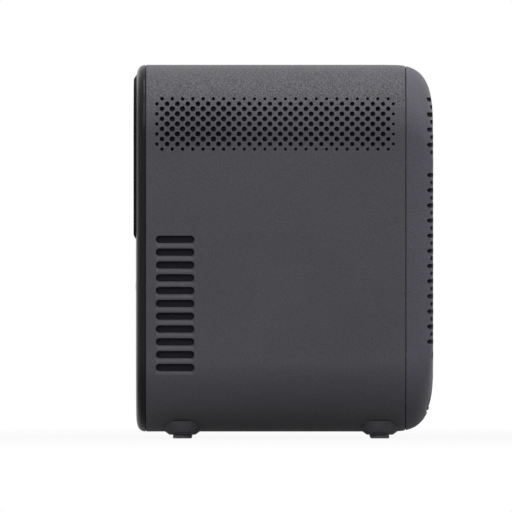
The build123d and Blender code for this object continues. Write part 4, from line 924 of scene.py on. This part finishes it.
line, mark_half = 0.17, 1.1


def arrow(x, way=1):
    """A solid triangle that points along X from a place there."""
    return [(x, 0), (x + 1.5 * way, 0)], [mark_half, 0.02]


def post(x):
    """An upright line at a place along X."""
    return [(x, -mark_half), (x, mark_half)], line


marks = {
    "power": [(bow(1.5, 120, 420), line), ([(0, 0.3), (0, 1.9)], line)],
    "previous": [arrow(1.9, -1), arrow(0.3, -1), post(-1.5)],
    "play": [arrow(-1.7), post(0.55), post(1.3)],
    "next": [arrow(-1.9), arrow(-0.3), post(1.5)],
    "volume": [
        ([(-1.7, 0), (-1.0, 0), (-0.1, 0)], [0.45, 0.45, 1.25]),
        (bow(1.0, -50, 50, 12), line),
        (bow(1.8, -50, 50, 16), line),
    ],
    "eject": [([(0, -0.35), (0, 1.1)], [1.35, 0.02]), ([(-1.35, -0.95), (1.35, -0.95)], line)],
}


def key(name, x):
    """A top key: a stadium carried up from its flange, over a soft edge, to a face that dips in a shallow ring."""
    shape, flange, face_inset, top = Shape(), -1, 1.25, top_z - strip_depth
    outline = lambda inset: stadium(key_length - 2 * inset, key_width - 2 * inset, 16) + [x, key_y]
    low, shoulder, face = top - 4.4, top - 2.2, top - key_dip
    profile = [(flange, low), (flange, shoulder), (0, shoulder), (0, top)]
    profile += [(0.75, top), (1.0, face), (face_inset, face)]
    skin(shape, drawn_in(outline, softened(profile, 0.3, 5), facing_up), -1)
    for inset, level, side in ((face_inset, face, 1), (flange, low, -1)):
        sheet(shape, outline(inset), none, lambda p: facing_up(p, level), side)
    printed(shape, marks[name], lambda p, lift: facing_up(p + [x, key_y], face + lift))
    shape.finish(name + "_button", name, [finishes["key_grey"], icon_print], [name + "_key"], "key_grey")


def eject():
    """The eject button: a stadium carried out from its flange over a soft edge, with its printed mark."""
    shape, flange, face_inset = Shape(), -1, 1.0
    outline = lambda inset: stadium(eject_size[0] - 2 * inset, eject_size[1] - 2 * inset, 16) + list(eject_at)
    face, shoulder, back = front_y - 0.15, front_y + 2.4, front_y + 3.7
    profile = softened([(flange, back), (flange, shoulder), (0, shoulder), (0, face), (face_inset, face)], 0.35, 5)
    skin(shape, drawn_in(outline, profile, facing_front), -1)
    for inset, y, side in ((face_inset, face, 1), (flange, back, -1)):
        sheet(shape, outline(inset), none, lambda p: facing_front(p, y), side)
    printed(shape, marks["eject"], lambda p, lift: facing_front(p + list(eject_at), face - lift))
    shape.finish("eject_cap", "eject", [finishes["fascia_black"], icon_print], ["eject_button"], "fascia_black")


edge_matt = moulded("edge_matt", linear(24, 24, 26), 0.6, 1500, 0.0001, 0.3, 0.2, 0.01)
icon_print = moulded("icon_print", linear(176, 176, 180), 0.5, 2400, 0.00002, 0.2, 0.06)
housing()
pads()
cover()
fascia()
plate()
shroud()
door()
eject()
for name, x in zip(("power", "previous", "play", "next", "volume"), key_xs):
    key(name, x)

# ------------------------------------------------------------------ floor, background, lamps and camera
def studio_floor():
    """A pale disc under the object that fades out at its rim, shows as white with the object's shadow, and can't be
    seen from underneath."""
    count, radius, full_until, gone_from = 96, 0.9, 0.25, 0.8
    mesh = bpy.data.meshes.new("floor")
    points = np.pad(np.append(circle(radius, count), [[0, 0]], 0), ((0, 0), (0, 1)))
    mesh.from_pydata(points.tolist(), [], [(k, (k + 1) % count, count) for k in range(count)])
    floor = bpy.data.objects.new("floor", mesh)
    bpy.context.scene.collection.objects.link(floor)
    finish = Finish("floor", Base_Color=(0.35, 0.35, 0.35), Roughness=0.9, Specular_IOR_Level=0.0)
    away = finish.node("ShaderNodeVectorMath", {"operation": "LENGTH"}, {0: finish.place}, "Value")
    fade = finish.node("ShaderNodeMapRange", {}, {0: away, 1: full_until, 2: gone_from})
    below = finish.node("ShaderNodeNewGeometry", {}, {}, "Backfacing")
    fade = finish.node("ShaderNodeMath", {"operation": "MAXIMUM"}, {0: fade, 1: below})
    glow = finish.node("ShaderNodeEmission", {}, {"Color": (1, 1, 1)})
    open_air = finish.node("ShaderNodeBsdfTransparent", {}, {})
    lit = finish.blend(finish.shown(0.92, 0.25, 0.5), Wire(finish, finish.shader.outputs[0]), glow)
    finish.join(finish.nodes["Material Output"].inputs["Surface"], finish.blend(fade, lit, open_air))
    mesh.materials.append(finish.material)


def studio_world():
    """White for what is seen, directly, in gloss or through glass, and a soft cool grey for the light it gives."""
    world = bpy.data.worlds.new("studio")
    bpy.context.scene.world = world
    tree = Tree(world)
    plain = tree.node("ShaderNodeBackground", {}, {"Color": (0.9, 0.95, 1.0), "Strength": 0.18})
    white = tree.node("ShaderNodeBackground", {}, {"Color": (1, 1, 1)})
    tree.join(tree.nodes["World Output"].inputs["Surface"], tree.blend(tree.shown(1, 1, 1), plain, white))


def lamp(name, place, aim, size, watts, in_gloss=True):
    """A soft rectangular lamp, aimed at a point, which shows in gloss or doesn't."""
    light = bpy.data.lights.new(name, "AREA")
    light.shape, light.size, light.size_y, light.energy = "RECTANGLE", *size, watts
    made = bpy.data.objects.new(name, light)
    made.location = place
    made.rotation_euler = (Vector(aim) - Vector(place)).to_track_quat("-Z", "Y").to_euler()
    made.visible_camera = False
    made.visible_glossy = in_gloss
    bpy.context.scene.collection.objects.link(made)


studio_floor()
studio_world()
lamp("overhead", (0.15, 0.0, 1.3), (0, 0, 0.1), (0.6, 0.7), 7)
lamp("side", (1.25, -0.15, 1.05), (0, 0, 0.12), (0.9, 1.2), 11.5)
lamp("rear", (0.3, 1.2, 1.0), (0, 0, 0.15), (0.6, 0.8), 10)
lamp("front", (-0.45, -1.3, 0.5), (0, 0, 0.12), (0.8, 0.8), 12, False)
lamp("far_side", (-1.5, -0.2, 0.5), (0, 0, 0.12), (1.0, 0.8), 10, False)

camera = bpy.data.cameras.new("photo_view")
span, reach = 0.3068, 13.0
camera.sensor_width, camera.lens, camera.clip_end = 36, 36 * reach / span, 40
viewer = bpy.data.objects.new("photo_view", camera)
viewer.location = (0.05 + reach, -0.0164, 0.1093)
viewer.rotation_euler = (np.pi / 2, 0, np.pi / 2)
bpy.context.scene.collection.objects.link(viewer)
bpy.context.scene.camera = viewer
bpy.context.scene.view_settings.view_transform = "Standard"

bpy.context.view_layer.update()
